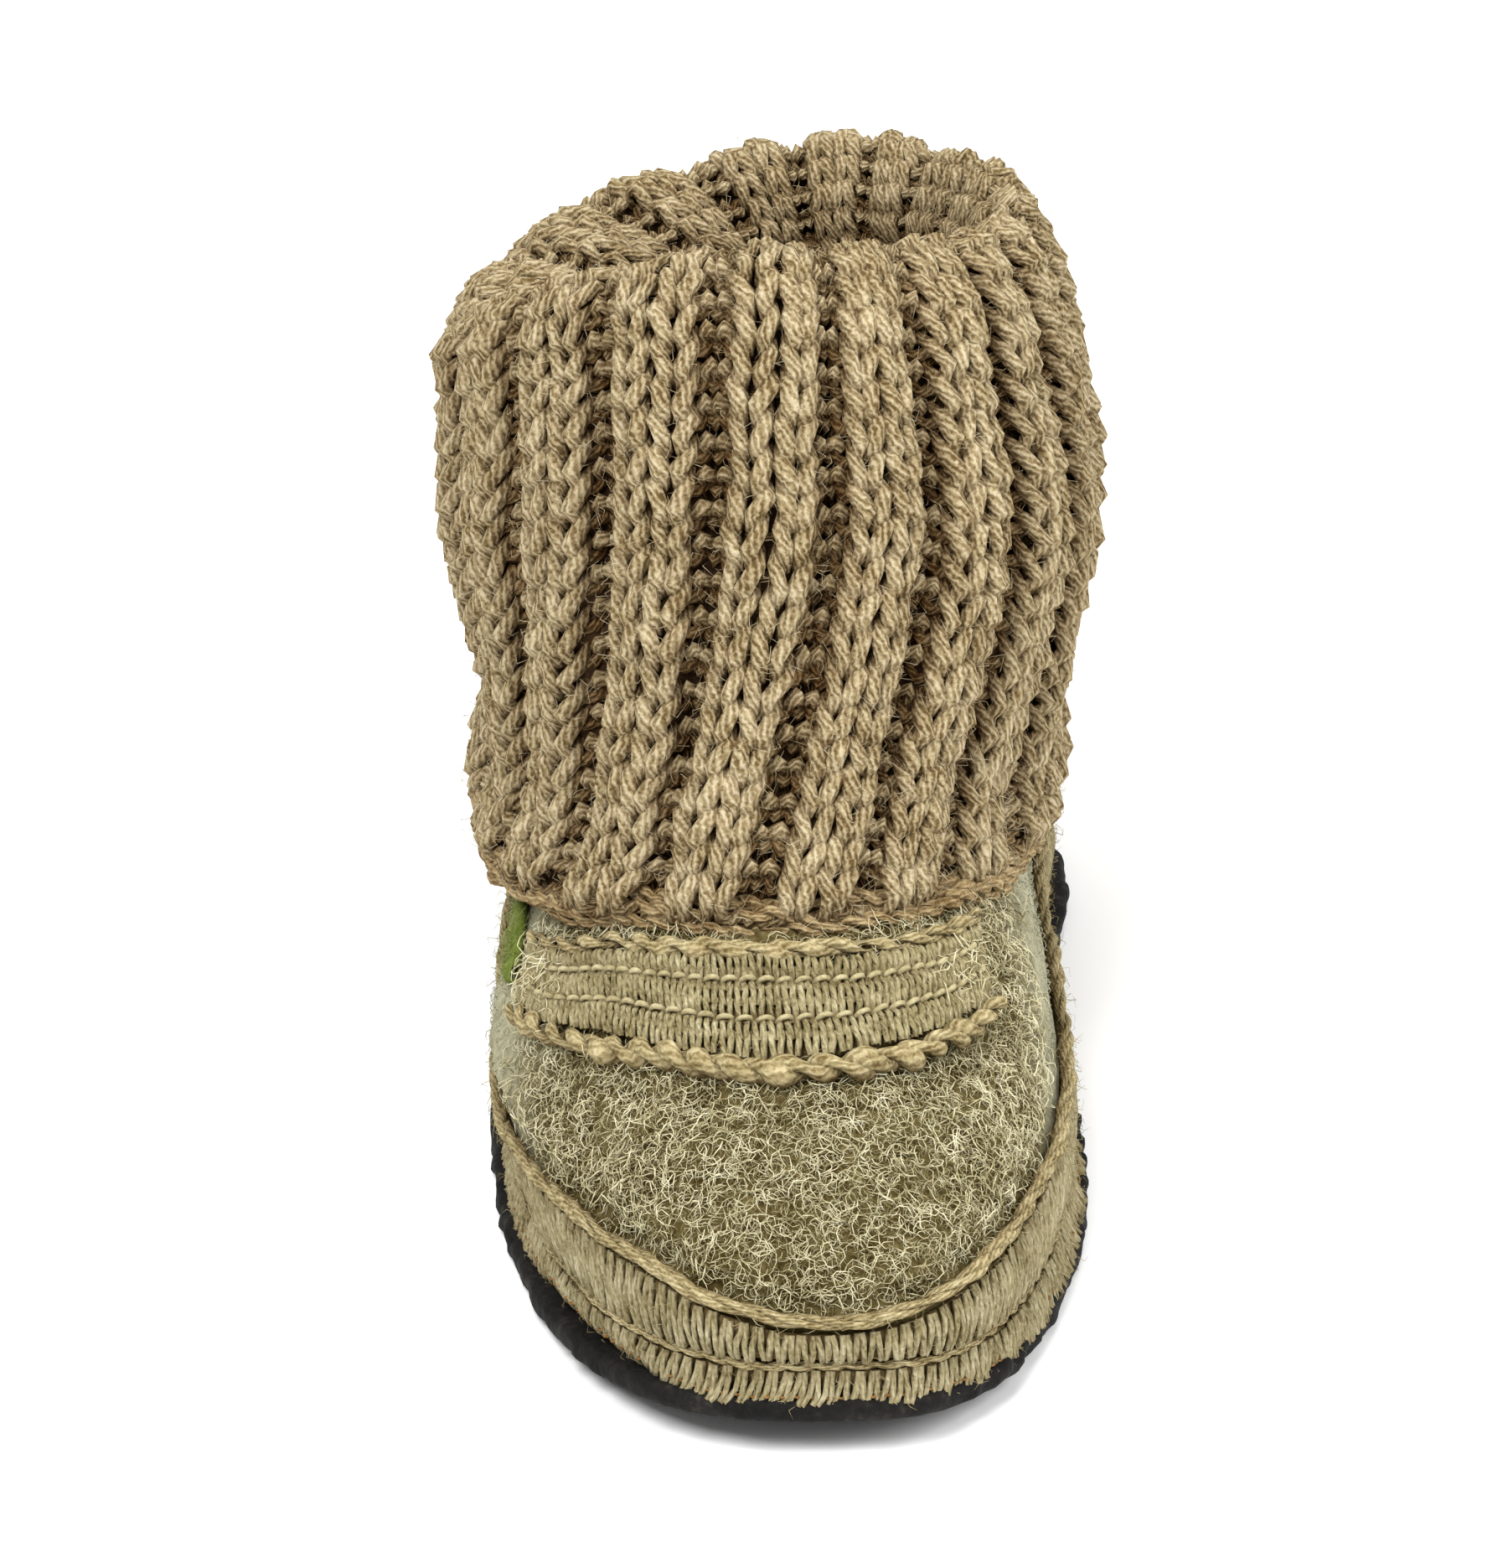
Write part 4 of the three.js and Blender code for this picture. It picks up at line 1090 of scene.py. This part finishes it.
# leg_deep sinks the legs at their ends and along the running stitches, and the same depth paints shade on
# them.
leg_deep = STRIP_RIB_BULGE * (leg_bulge - 1) - PULL_DEPTH * stitch_pull(leg_across)
legs = strayed(off_upper(leg_turn, leg_level, TRIM_GAP + STRIP_RIB_OUT + leg_deep), STRIP_RIB_STRAY)
STRIP_TONES = [(93, 82, 49), (131, 120, 87), (154, 144, 110), (180, 171, 138)]
strip_wool = new_yarn(
    "strip rib wool", STRIP_TONES, RIB_SHADE_TONES, TAPE_TWIST, patch=3.4, grain=0.7, relief=0.3
)
ribs = lay_yarn(
    "instep_ribs", legs, upper_face(leg_turn, leg_level), TAPE_YARN, strip_wool, "strip_tape",
    thick=uneven(legs, *STRIP_RIB_UNEVEN), deep=leg_deep,
)
grow_nap(
    "instep_lint", ribs.data, "lint", LINT_PER_AREA, lints, lint_wool, "strip_tape", seed=10, length=0.8
)
STITCH_TONES = [(126, 114, 79), (166, 155, 119), (190, 181, 146)]
stitch_wool = new_yarn(
    "running stitch yarn", STITCH_TONES, RIB_SHADE_TONES, patch=3.0, grain=0.6, relief=0.2
)
for row, (across, pitch) in enumerate(zip(*STITCH_ROWS.values())):
    starts = np.arange(STITCH["first"], middle_run[-1] - pitch, pitch)[:, None]
    share = np.linspace(0, 1, STITCH["points"])[None]
    degrees = np.interp(starts + share * pitch * STITCH["share"], middle_run, fine_degrees)
    turn = np.radians(degrees)
    level = strip_levels(degrees, across + STITCH["slant"] * (share - 0.5))
    bulge = np.sin(np.pi * share) ** STITCH["round"]
    stitches = off_upper(turn, level, TRIM_GAP + STITCH["out"] + STITCH["bulge"] * bulge)
    # Painted shade: the stitches darken towards their ends, by STITCH_SHADE.
    lay_yarn(
        "instep_stitches_%d" % (row + 1), strayed(stitches, STITCH_STRAY), upper_face(turn, level),
        STITCH_YARN, stitch_wool, "strip_tape", deep=STITCH_SHADE * (bulge - 1),
    )
edge_degrees = np.linspace(STRIP_FROM, STRIP_TO, STRIP_EDGE_POINTS)
low_level = strip_level(edge_degrees, "low") + LOW_EDGE_BEYOND
high_level = strip_level(edge_degrees, "high") + HIGH_EDGE_BEYOND
edge_turn = np.radians(edge_degrees)
edge_share = np.linspace(STRIP_EDGE_TIP, 1 - STRIP_EDGE_TIP, STRIP_EDGE_POINTS)
edge_swell = STRIP_EDGE_THIN + STRIP_EDGE_SWELL * np.sin(np.pi * edge_share)
edge_run = np.interp(edge_degrees, fine_degrees, middle_run)
knotted = edge_swell * (1 + KNOT_SWELL * np.sin(2 * np.pi * edge_run / KNOT_PITCH))
lay_rope(
    "instep_edge_low", edge_turn, low_level, LOW_ROPE, LOW_STRAND, rope_wool, "strip_edge_low",
    sway=0.8, rough=0.5, swell=knotted,
)
lay_rope(
    "instep_edge_high", edge_turn, high_level, HIGH_ROPE, HIGH_STRAND, rope_wool, "strip_edge_high",
    sway=0.7, rough=0.5, swell=knotted,
)

# Knit cuff
# A tube of rib knit in thick wool, sewn into the felt collar and folded outward and down over itself. Each
# rib is two knit wales, each valley two purl wales drawn together, and a cast-on edge hangs at the bottom.
CUFF_DROP = 1.3
CUFF_BOTTOM = 10.0
RIB_COUNT = 18
RIB_PHASE = 9.4
CUFF = table(
    "front back medial lateral front_z back_z medial_z lateral_z toe_square heel_square lean ribs twist",
    (73.0, 160.0, 22.5, 24.5, 62.0, 61.0, 61.0, 60.0, 2.1, 2.1, 0.0, 0.5, 0.0),
    (81.5, 152.5, 20.0, 22.0, 78.0, 73.5, 77.0, 73.0, 2.1, 2.0, 2.0, 0.4, 0.0),
    (88.0, 145.0, 18.5, 17.5, 97.0, 85.0, 89.5, 83.0, 2.1, 1.95, 7.0, 0.3, 0.0),
    (91.0, 147.0, 19.0, 19.5, 112.0, 95.0, 101.0, 91.0, 2.1, 1.9, 7.0, 0.3, 0.0),
    (87.0, 155.0, 26.0, 36.2, 118.5, 101.0, 108.0, 95.5, 2.1, 1.85, 7.0, 0.4, 0.0),
    (81.0, 160.5, 31.0, 43.4, 115.0, 96.5, 102.5, 91.0, 2.1, 1.85, 7.0, 0.7, 0.0),
    (75.0, 166.0, 35.0, 44.0, 105.0, 86.5, 90.0, 82.5, 2.1, 2.0, 4.0, 1.0, 0.0),
    (67.5, 171.0, 38.8, 43.0, 88.0, 72.5, 70.0, 66.5, 2.15, 2.1, 2.0, 1.0, -1.0),
    (60.0, 174.5, 36.4, 38.6, 70.0, 57.5, 54.0, 52.5, 2.2, 2.2, 0.0, 1.0, -6.0),
    (53.3, 177.0, 34.4, 37.0, 55.0, 46.5, 43.0, 43.0, 2.25, 2.4, 0.0, 0.8, -11.0),
    (49.2, 178.6, 35.2, 40.0, 45.6, 39.0, 34.5, 29.6, 2.25, 2.5, 0.0, 0.2, -14.0),
)
WALES = table("start width purl", (-0.15, 0.15, 1), (0.0, 0.15, 1), (0.15, 0.35, 0), (0.5, 0.35, 0))
CREST_INSET = 1.5
VALLEY_DEPTH = 3.9
VALLEY_REACH = 0.32
# VALLEY_SHADE and INSIDE_SHADE paint shade on the courses: darker in the rib valleys and inside the mouth.
VALLEY_SHADE = 0.42
INSIDE_SHADE = 0.7
COURSE_PITCH = 3.95
LOOP_HEIGHT = 0.95
PURL_HEIGHT = 0.8
LOOP_BULGE = 0.238
LOOP_DEPTH = 1.3
LOOP_TUCK = 0.35
LOOP_POINTS = 10
LOOP_EASE = 1.2
PURL_THIN = 0.22
FULL_RIB = 12.8
YARN_LIMITS = (0.62, 1.05)
YARN_BEHIND = 0.82
YARN_IN_FRONT = 0.27
YARN_LUMPS = {"amount": 0.22, "size": 3.4, "seed": 54}
YARN_LEAST = 0.35
KNIT_STRAYS = ((0.3, 2.4, 71), (0.8, 5.5, 51), (0.9, 24.0, 64))
INSIDE_LEVEL = 4
FIRST_COURSE = 0.9
COURSE_PARTS = 3
RUN_STEPS = 501
RUN_END = 0.999999
MERIDIANS = 72
KNIT_YARN = {"radius": 1.1, "sides": 6, "lit": 0.5, "dark": 2.5}
TOP_COURSE_LEVEL = 1.8
RIB_STEPS = 8
CORE_ROWS = 38
CORE_INSET = 1.0
CORE_WALL = 1.2
CORE_INNER_LEVEL = 2.6
SHAFT_ROWS = 3
SHAFT_FROM_LEVEL = 5.1
SHAFT_PLAY = 0.7
SHAFT_WALL = 3.6
CAST_ON_ROPE = {"radius": 1.15, "strands": 2, "turn": 7.0}
CAST_ON_STRAND = {"radius": 0.68, "sides": 6, "lit": 0.1, "dark": 2.2}
CAST_ON_LINES = table(
    "level out hang",
    (9.6, -2.9, 0.0),
    (9.8, -2.4, 0.0),
    (9.94, -1.9, 0.5),
    (10.0, -2.5, 1.2),
)
CAST_ON_AROUND = 320
CAST_ON_SAG = (0.9, 7.0, 57)
CAST_ON_STRAY = (0.7, 5.0, 58)
CAST_ON_UNEVEN = (0.35, 4.0, 61)
CAST_ON_SHADE = 0.7


def cuff_point(level, turn):
    row = row_at(CUFF, level)
    return ring_point(row, turn + np.radians(row["twist"]), 0.0, CUFF_DROP)


def cuff_face(level, turn):
    step = 0.02
    high = cuff_point(np.minimum(level + step, CUFF_BOTTOM), turn)
    low = cuff_point(np.maximum(level - step, 0), turn)
    around = cuff_point(level, turn + step) - cuff_point(level, turn - step)
    return unit(np.cross(high - low, around))


def off_cuff(level, turn, out):
    level, turn, out = np.broadcast_arrays(level, turn, out)
    return cuff_point(level, turn) + cuff_face(level, turn) * out[..., None]


def rib_inset(level, phase):
    away = np.abs((phase + 0.5) % 1 - 0.5)
    valley = (np.cos(np.pi * np.minimum(away / VALLEY_REACH, 1)) + 1) / 2
    return CREST_INSET + VALLEY_DEPTH * valley * row_at(CUFF, level)["ribs"]


def cuff_turn(phase):
    return np.radians(RIB_PHASE + phase * 360 / RIB_COUNT)


core_phase = np.arange(0, RIB_COUNT, 1 / RIB_STEPS)[None]
core_turn = cuff_turn(core_phase)
core_levels = np.linspace(0, CUFF_BOTTOM, CORE_ROWS)[:, None]
core_inset = rib_inset(core_levels, core_phase) + CORE_INSET
core_face = off_cuff(core_levels, core_turn, -core_inset)
core_back = off_cuff(core_levels, core_turn, -core_inset - CORE_WALL)[::-1]
shaft_levels = np.linspace(SHAFT_FROM_LEVEL, COLLAR_LEVEL, SHAFT_ROWS)[:, None]
shaft_out = -FELT_WALL - SHAFT_PLAY
shaft_face = off_upper(core_turn, shaft_levels, shaft_out - SHAFT_WALL)
shaft_back = off_upper(core_turn, shaft_levels, shaft_out)[::-1]
core_points = np.concatenate([shaft_face, core_face, core_back, shaft_back])
core_faces = grid_faces(len(core_points), core_phase.shape[1], True)[:, ::-1]
shaft_inner = np.ones((SHAFT_ROWS, 1))
face_inner = np.clip(CORE_INNER_LEVEL - core_levels, 0, 1)
core_inner = np.concatenate([shaft_inner, face_inner, 0 * core_levels, shaft_inner])
cuff_core = new_piece("cuff_backing", core_points, core_faces, inner=core_inner)
# The backing's colour is painted shade: a dark sheet that fills the gaps behind the knit courses, with less
# dark tones on the inner wall of the mouth, also painted shade.
BACKING_SHADE_TONES = [(34, 22, 13), (56, 39, 24), (80, 60, 39)]
INNER_SHADE_TONES = [(70, 52, 31), (100, 79, 51), (128, 105, 72)]
backing_shade_wool = new_surface(
    "cuff wool in shadow", BACKING_SHADE_TONES, patch=6.0, grain=0.9, relief=0.5, sheen=0.0,
    other=(INNER_SHADE_TONES, "inner"),
)
dress(cuff_core, backing_shade_wool, "cuff_knit", "knit_cuff")

run_levels = np.linspace(0, CUFF_BOTTOM, RUN_STEPS)
run_turns = np.linspace(0, 2 * np.pi, MERIDIANS, endpoint=False)
run_points = cuff_point(run_levels[:, None], run_turns[None])
run_steps = np.linalg.norm(np.diff(run_points, axis=0), axis=-1)
runs = np.concatenate([np.zeros((1, MERIDIANS)), np.cumsum(run_steps, axis=0)])
cuff_length = runs[-1].mean()
even_runs = np.linspace(0, cuff_length, RUN_STEPS)
run_tables = [np.interp(even_runs, run * cuff_length / run[-1], run_levels) for run in runs.T]
levels_by_run = np.array(run_tables + run_tables[:1])
ring_lengths = np.linalg.norm(np.roll(run_points, -1, axis=1) - run_points, axis=-1).sum(axis=1)


def level_at_run(run, turn):
    column = turn / (2 * np.pi) % 1 * MERIDIANS
    row = np.clip(run / cuff_length, 0, RUN_END) * (RUN_STEPS - 1)
    left = np.minimum(column.astype(int), MERIDIANS - 1)
    below = row.astype(int)
    aside = column - left
    above = row - below
    near = levels_by_run[left, below] * (1 - above) + levels_by_run[left, below + 1] * above
    far = levels_by_run[left + 1, below] * (1 - above) + levels_by_run[left + 1, below + 1] * above
    return near * (1 - aside) + far * aside


def course_loops():
    angle = np.linspace(0, 2 * np.pi, LOOP_POINTS, endpoint=False)[None, None]
    rib = np.arange(RIB_COUNT)[:, None, None] + RIB_COUNT // 2
    start = WALES["start"][None, :, None]
    width = WALES["width"][None, :, None]
    purl = WALES["purl"][None, :, None]
    phase = rib + start + width * (angle / (2 * np.pi) + LOOP_BULGE * np.sin(2 * angle))
    before = np.roll(purl, 1, axis=1) != purl
    after = np.roll(purl, -1, axis=1) != purl
    into = np.where(before, eased(np.clip(angle / LOOP_EASE, 0, 1)), 1)
    out_of = np.where(after, eased(np.clip((2 * np.pi - angle) / LOOP_EASE, 0, 1)), 1)
    front = (1 - 2 * purl) * into * out_of * (LOOP_TUCK * np.cos(angle) - np.cos(2 * angle))
    height = np.where(purl > 0, PURL_HEIGHT, LOOP_HEIGHT)
    rise = -height * COURSE_PITCH * np.cos(angle)
    stout = 1 - PURL_THIN * purl * into * out_of
    return [values.reshape(1, -1) for values in np.broadcast_arrays(phase, front, rise, stout)]


KNIT_TONES = [(92, 74, 46), (136, 119, 87), (160, 145, 112), (186, 172, 142)]
# Painted shade tones for the knit where it lies deep.
KNIT_SHADE_TONES = [(44, 27, 13), (80, 58, 33), (120, 96, 63)]
KNIT_TWIST = {"plies": 6, "lay": 10.0, "groove_shade": 0.13}
knit_wool = new_yarn(
    "cuff knit wool", KNIT_TONES, KNIT_SHADE_TONES, KNIT_TWIST, patch=4.0, grain=0.5, relief=0.4, sheen=0.5
)
top_run = np.interp(TOP_COURSE_LEVEL, run_levels, runs.mean(axis=1))
courses = np.arange(cuff_length - FIRST_COURSE * COURSE_PITCH, top_run, -COURSE_PITCH)
loop_phase, loop_front, loop_rise, loop_stout = course_loops()
loop_turn = cuff_turn(loop_phase)
loop_deep = LOOP_DEPTH * loop_front - CREST_INSET
for part, some in enumerate(np.array_split(courses, COURSE_PARTS)):
    level = level_at_run(some[:, None] - loop_rise, loop_turn)
    valley = rib_inset(level, loop_phase) - CREST_INSET
    paths = strayed(off_cuff(level, loop_turn, loop_deep - valley), *KNIT_STRAYS)
    # Painted shade: loops that lie deep, in the valleys and inside the mouth, take the darker shade tones.
    shade = loop_deep - VALLEY_SHADE * valley - INSIDE_SHADE * np.maximum(INSIDE_LEVEL - level, 0)
    fullness = np.interp(level, run_levels, ring_lengths) / (RIB_COUNT * FULL_RIB)
    lumpy = YARN_LUMPS["amount"] * lumps(paths, YARN_LUMPS["size"], YARN_LUMPS["seed"])
    stout = np.maximum(YARN_BEHIND + YARN_IN_FRONT * loop_front + lumpy, YARN_LEAST)
    thick = np.clip(fullness, *YARN_LIMITS) * loop_stout * stout
    lay_yarn(
        "cuff_courses_%d" % (part + 1), paths, cuff_face(level, loop_turn), KNIT_YARN, knit_wool, "cuff_knit",
        closed=True, thick=thick, deep=shade,
    )

CAST_ON_TONES = [(86, 66, 40), (130, 109, 76), (154, 134, 98), (180, 162, 126)]
CAST_ON_TWIST = {"plies": 5, "lay": 12.0, "groove_shade": 0.09}
cast_on_wool = new_yarn(
    "cast-on yarn", CAST_ON_TONES, KNIT_SHADE_TONES, CAST_ON_TWIST,
    patch=4.0, grain=0.7, relief=0.35, sheen=0.08,
)
cast_on_turn = np.linspace(np.pi, 3 * np.pi, CAST_ON_AROUND, endpoint=False)
sag, sag_size, sag_seed = CAST_ON_SAG
for line, (level, out, hang) in enumerate(zip(*CAST_ON_LINES.values())):
    centre = off_cuff(level, cast_on_turn, out)
    centre[:, 2] -= hang + sag * lumps(centre, sag_size, sag_seed + line)
    centre = strayed(centre, (*CAST_ON_STRAY[:2], CAST_ON_STRAY[2] + line))
    face = cuff_face(level, cast_on_turn)
    paths, deep = rope_strands(centre, face, CAST_ON_ROPE, True)
    # Painted shade: CAST_ON_SHADE darkens the whole cast-on edge towards the knit's shade tones, most where
    # strands lie behind in the twist.
    lay_yarn(
        "cuff_edge_%d" % (line + 1), paths, face[None], CAST_ON_STRAND, cast_on_wool, "cuff_knit",
        closed=True, deep=deep - CAST_ON_SHADE,
        thick=uneven(paths, *CAST_ON_UNEVEN[:2], CAST_ON_UNEVEN[2] + line),
    )

# Fuzz of the cuff
# Loose wool hairs that stand off the knit all over and hang from its lower edge. They are ends of the knit's
# own fibres, finer and straighter than the curls of the felt.
HAIR = {"length": 4.2, "radius": 0.042, "points": 3, "rise": 1.6, "bend": 0.5}
FUZZ_PER_AREA = 0.27
FUZZ_FROM_LEVEL = 3.0
FUZZ_ROWS = 60
FUZZ_RAISE = 1.1
hairs = three_shapes("hair_", HAIR, first_seed=7)
fuzz_levels = np.linspace(FUZZ_FROM_LEVEL, CUFF_BOTTOM, FUZZ_ROWS)[:, None]
fuzz_inset = rib_inset(fuzz_levels, core_phase) - FUZZ_RAISE
fuzz_points = off_cuff(fuzz_levels, core_turn, -fuzz_inset)
fuzz_faces = grid_faces(FUZZ_ROWS, core_phase.shape[1], False)[:, ::-1]
fuzz_base = new_piece("fuzz_base", fuzz_points, fuzz_faces, fuzz=1.0)
FUZZ_TONES = [(114, 96, 67), (162, 147, 115), (192, 179, 149), (212, 202, 175)]
fuzz_wool = new_surface("loose wool hairs", FUZZ_TONES, patch=5.0, grain=1.0, relief=0.1)
grow_nap(
    "cuff_fuzz", fuzz_base.data, "fuzz", FUZZ_PER_AREA, hairs, fuzz_wool, "cuff_knit", seed=3, length=0.9
)
bpy.data.objects.remove(fuzz_base)

# Side patch
# A small leaf of plain green felt sewn flat on the outer side of the upper. Its cut edge is rounded and a
# short green nap stands on it.
PATCH_FROM = -86.0
PATCH_TO = -72.0
PATCH_LEVEL = 3.0
PATCH_HALF = 0.32
PATCH_WALL = 1.0
PATCH_STATIONS = 70
PATCH_TIP = 0.03
PATCH_FULLNESS = 0.7
PATCH_NAP_FROM = 0.4
PATCH_CURLS = 1.6
PATCH_SECTION = table(
    "across out",
    (0.0, 0.0),
    (0.01, 0.5),
    (0.06, 0.9),
    (0.2, 1.0),
    (0.4, 1.0),
    (0.6, 1.0),
    (0.8, 1.0),
    (0.94, 0.9),
    (0.99, 0.5),
    (1.0, 0.0),
    (0.67, 0.0),
    (0.33, 0.0),
)
patch_share = np.linspace(PATCH_TIP, 1 - PATCH_TIP, PATCH_STATIONS)[:, None]
patch_turn = np.radians(PATCH_FROM + (PATCH_TO - PATCH_FROM) * patch_share)
patch_half = PATCH_HALF * np.sin(np.pi * patch_share) ** PATCH_FULLNESS
patch_level = PATCH_LEVEL + patch_half * (2 * PATCH_SECTION["across"] - 1)
patch_points = off_upper(patch_turn, patch_level, TRIM_GAP + PATCH_WALL * PATCH_SECTION["out"])
patch_faces = grid_faces(PATCH_STATIONS, patch_points.shape[1], False)[:, ::-1]
patch = new_piece("side_leaf", patch_points, patch_faces, nap=PATCH_SECTION["out"] > PATCH_NAP_FROM)
PATCH_TONES = [(68, 80, 26), (98, 111, 46), (122, 134, 68)]
patch_felt = new_surface("green felt", PATCH_TONES, patch=5.0, grain=0.9, relief=0.4, sheen=0.2)
dress(patch, patch_felt, "patch_felt", "side_patch")
PATCH_CURL_TONES = [(100, 104, 56), (132, 136, 86), (150, 154, 106)]
patch_curl = new_surface("green wool ends", PATCH_CURL_TONES, patch=5.0, grain=1.0, relief=0.1, sheen=0.2)
grow_nap(
    "side_leaf_nap", patch.data, "nap", PATCH_CURLS, curls, patch_curl, "patch_felt",
    seed=4, length=0.6, lean=0.1,
)

# Studio
# A plain pale floor, soft light from large panels and a white sky, and the camera in front of the toe,
# looking down at the shoe through a long lens.
FLOOR_HALF = 3.0
SKY_STRENGTH = 0.55
SENSOR_WIDTH = 36.0
LENS = 313.8
FAR_CLIP = 20.0
CAMERA_PLACE = (-0.0016, -1.490, 0.8412)
CAMERA_TILT = 61.84
LIGHT_AIM = (0.0, 0.0, 0.05)
LIGHTS = {
    "key": {"place": (-0.5, -0.7, 1.3), "size": 0.8, "power": 23.5},
    "fill": {"place": (0.9, -0.5, 0.9), "size": 0.8, "power": 12.5},
    "top": {"place": (0.0, 0.3, 1.5), "size": 1.0, "power": 9.0},
}
floor_mesh = bpy.data.meshes.new("floor")
corners = [(FLOOR_HALF * x, FLOOR_HALF * y, 0) for x, y in ((-1, -1), (1, -1), (1, 1), (-1, 1))]
floor_mesh.from_pydata(corners, [], [(0, 1, 2, 3)])
floor = bpy.data.objects.new("floor", floor_mesh)
scene.collection.objects.link(floor)
FLOOR_TONES = [(246, 246, 245), (250, 250, 250)]
pale_floor = new_surface(
    "pale floor", FLOOR_TONES, patch=400.0, grain=90.0, relief=0.0, roughness=0.9, sheen=0.0
)
floor_mesh.materials.append(pale_floor)

world = bpy.data.worlds.new("studio")
world.use_nodes = True
sky = world.node_tree.nodes["Background"].inputs
sky["Color"].default_value = (1.0, 1.0, 1.0, 1.0)
sky["Strength"].default_value = SKY_STRENGTH
scene.world = world
for name, light in LIGHTS.items():
    lamp = bpy.data.lights.new(name, "AREA")
    lamp.energy = light["power"]
    lamp.size = light["size"]
    holder = bpy.data.objects.new(name, lamp)
    holder.location = light["place"]
    away = np.array(light["place"]) - np.array(LIGHT_AIM)
    flat = np.hypot(away[0], away[1])
    holder.rotation_euler = (np.arctan2(flat, away[2]), 0, np.arctan2(away[0], -away[1]))
    scene.collection.objects.link(holder)

camera_data = bpy.data.cameras.new("camera")
camera_data.sensor_width = SENSOR_WIDTH
camera_data.lens = LENS
camera_data.clip_end = FAR_CLIP
camera = bpy.data.objects.new("camera", camera_data)
camera.location = CAMERA_PLACE
camera.rotation_euler = (np.radians(CAMERA_TILT), 0, 0)
scene.collection.objects.link(camera)
scene.camera = camera
scene.view_settings.view_transform = "Standard"
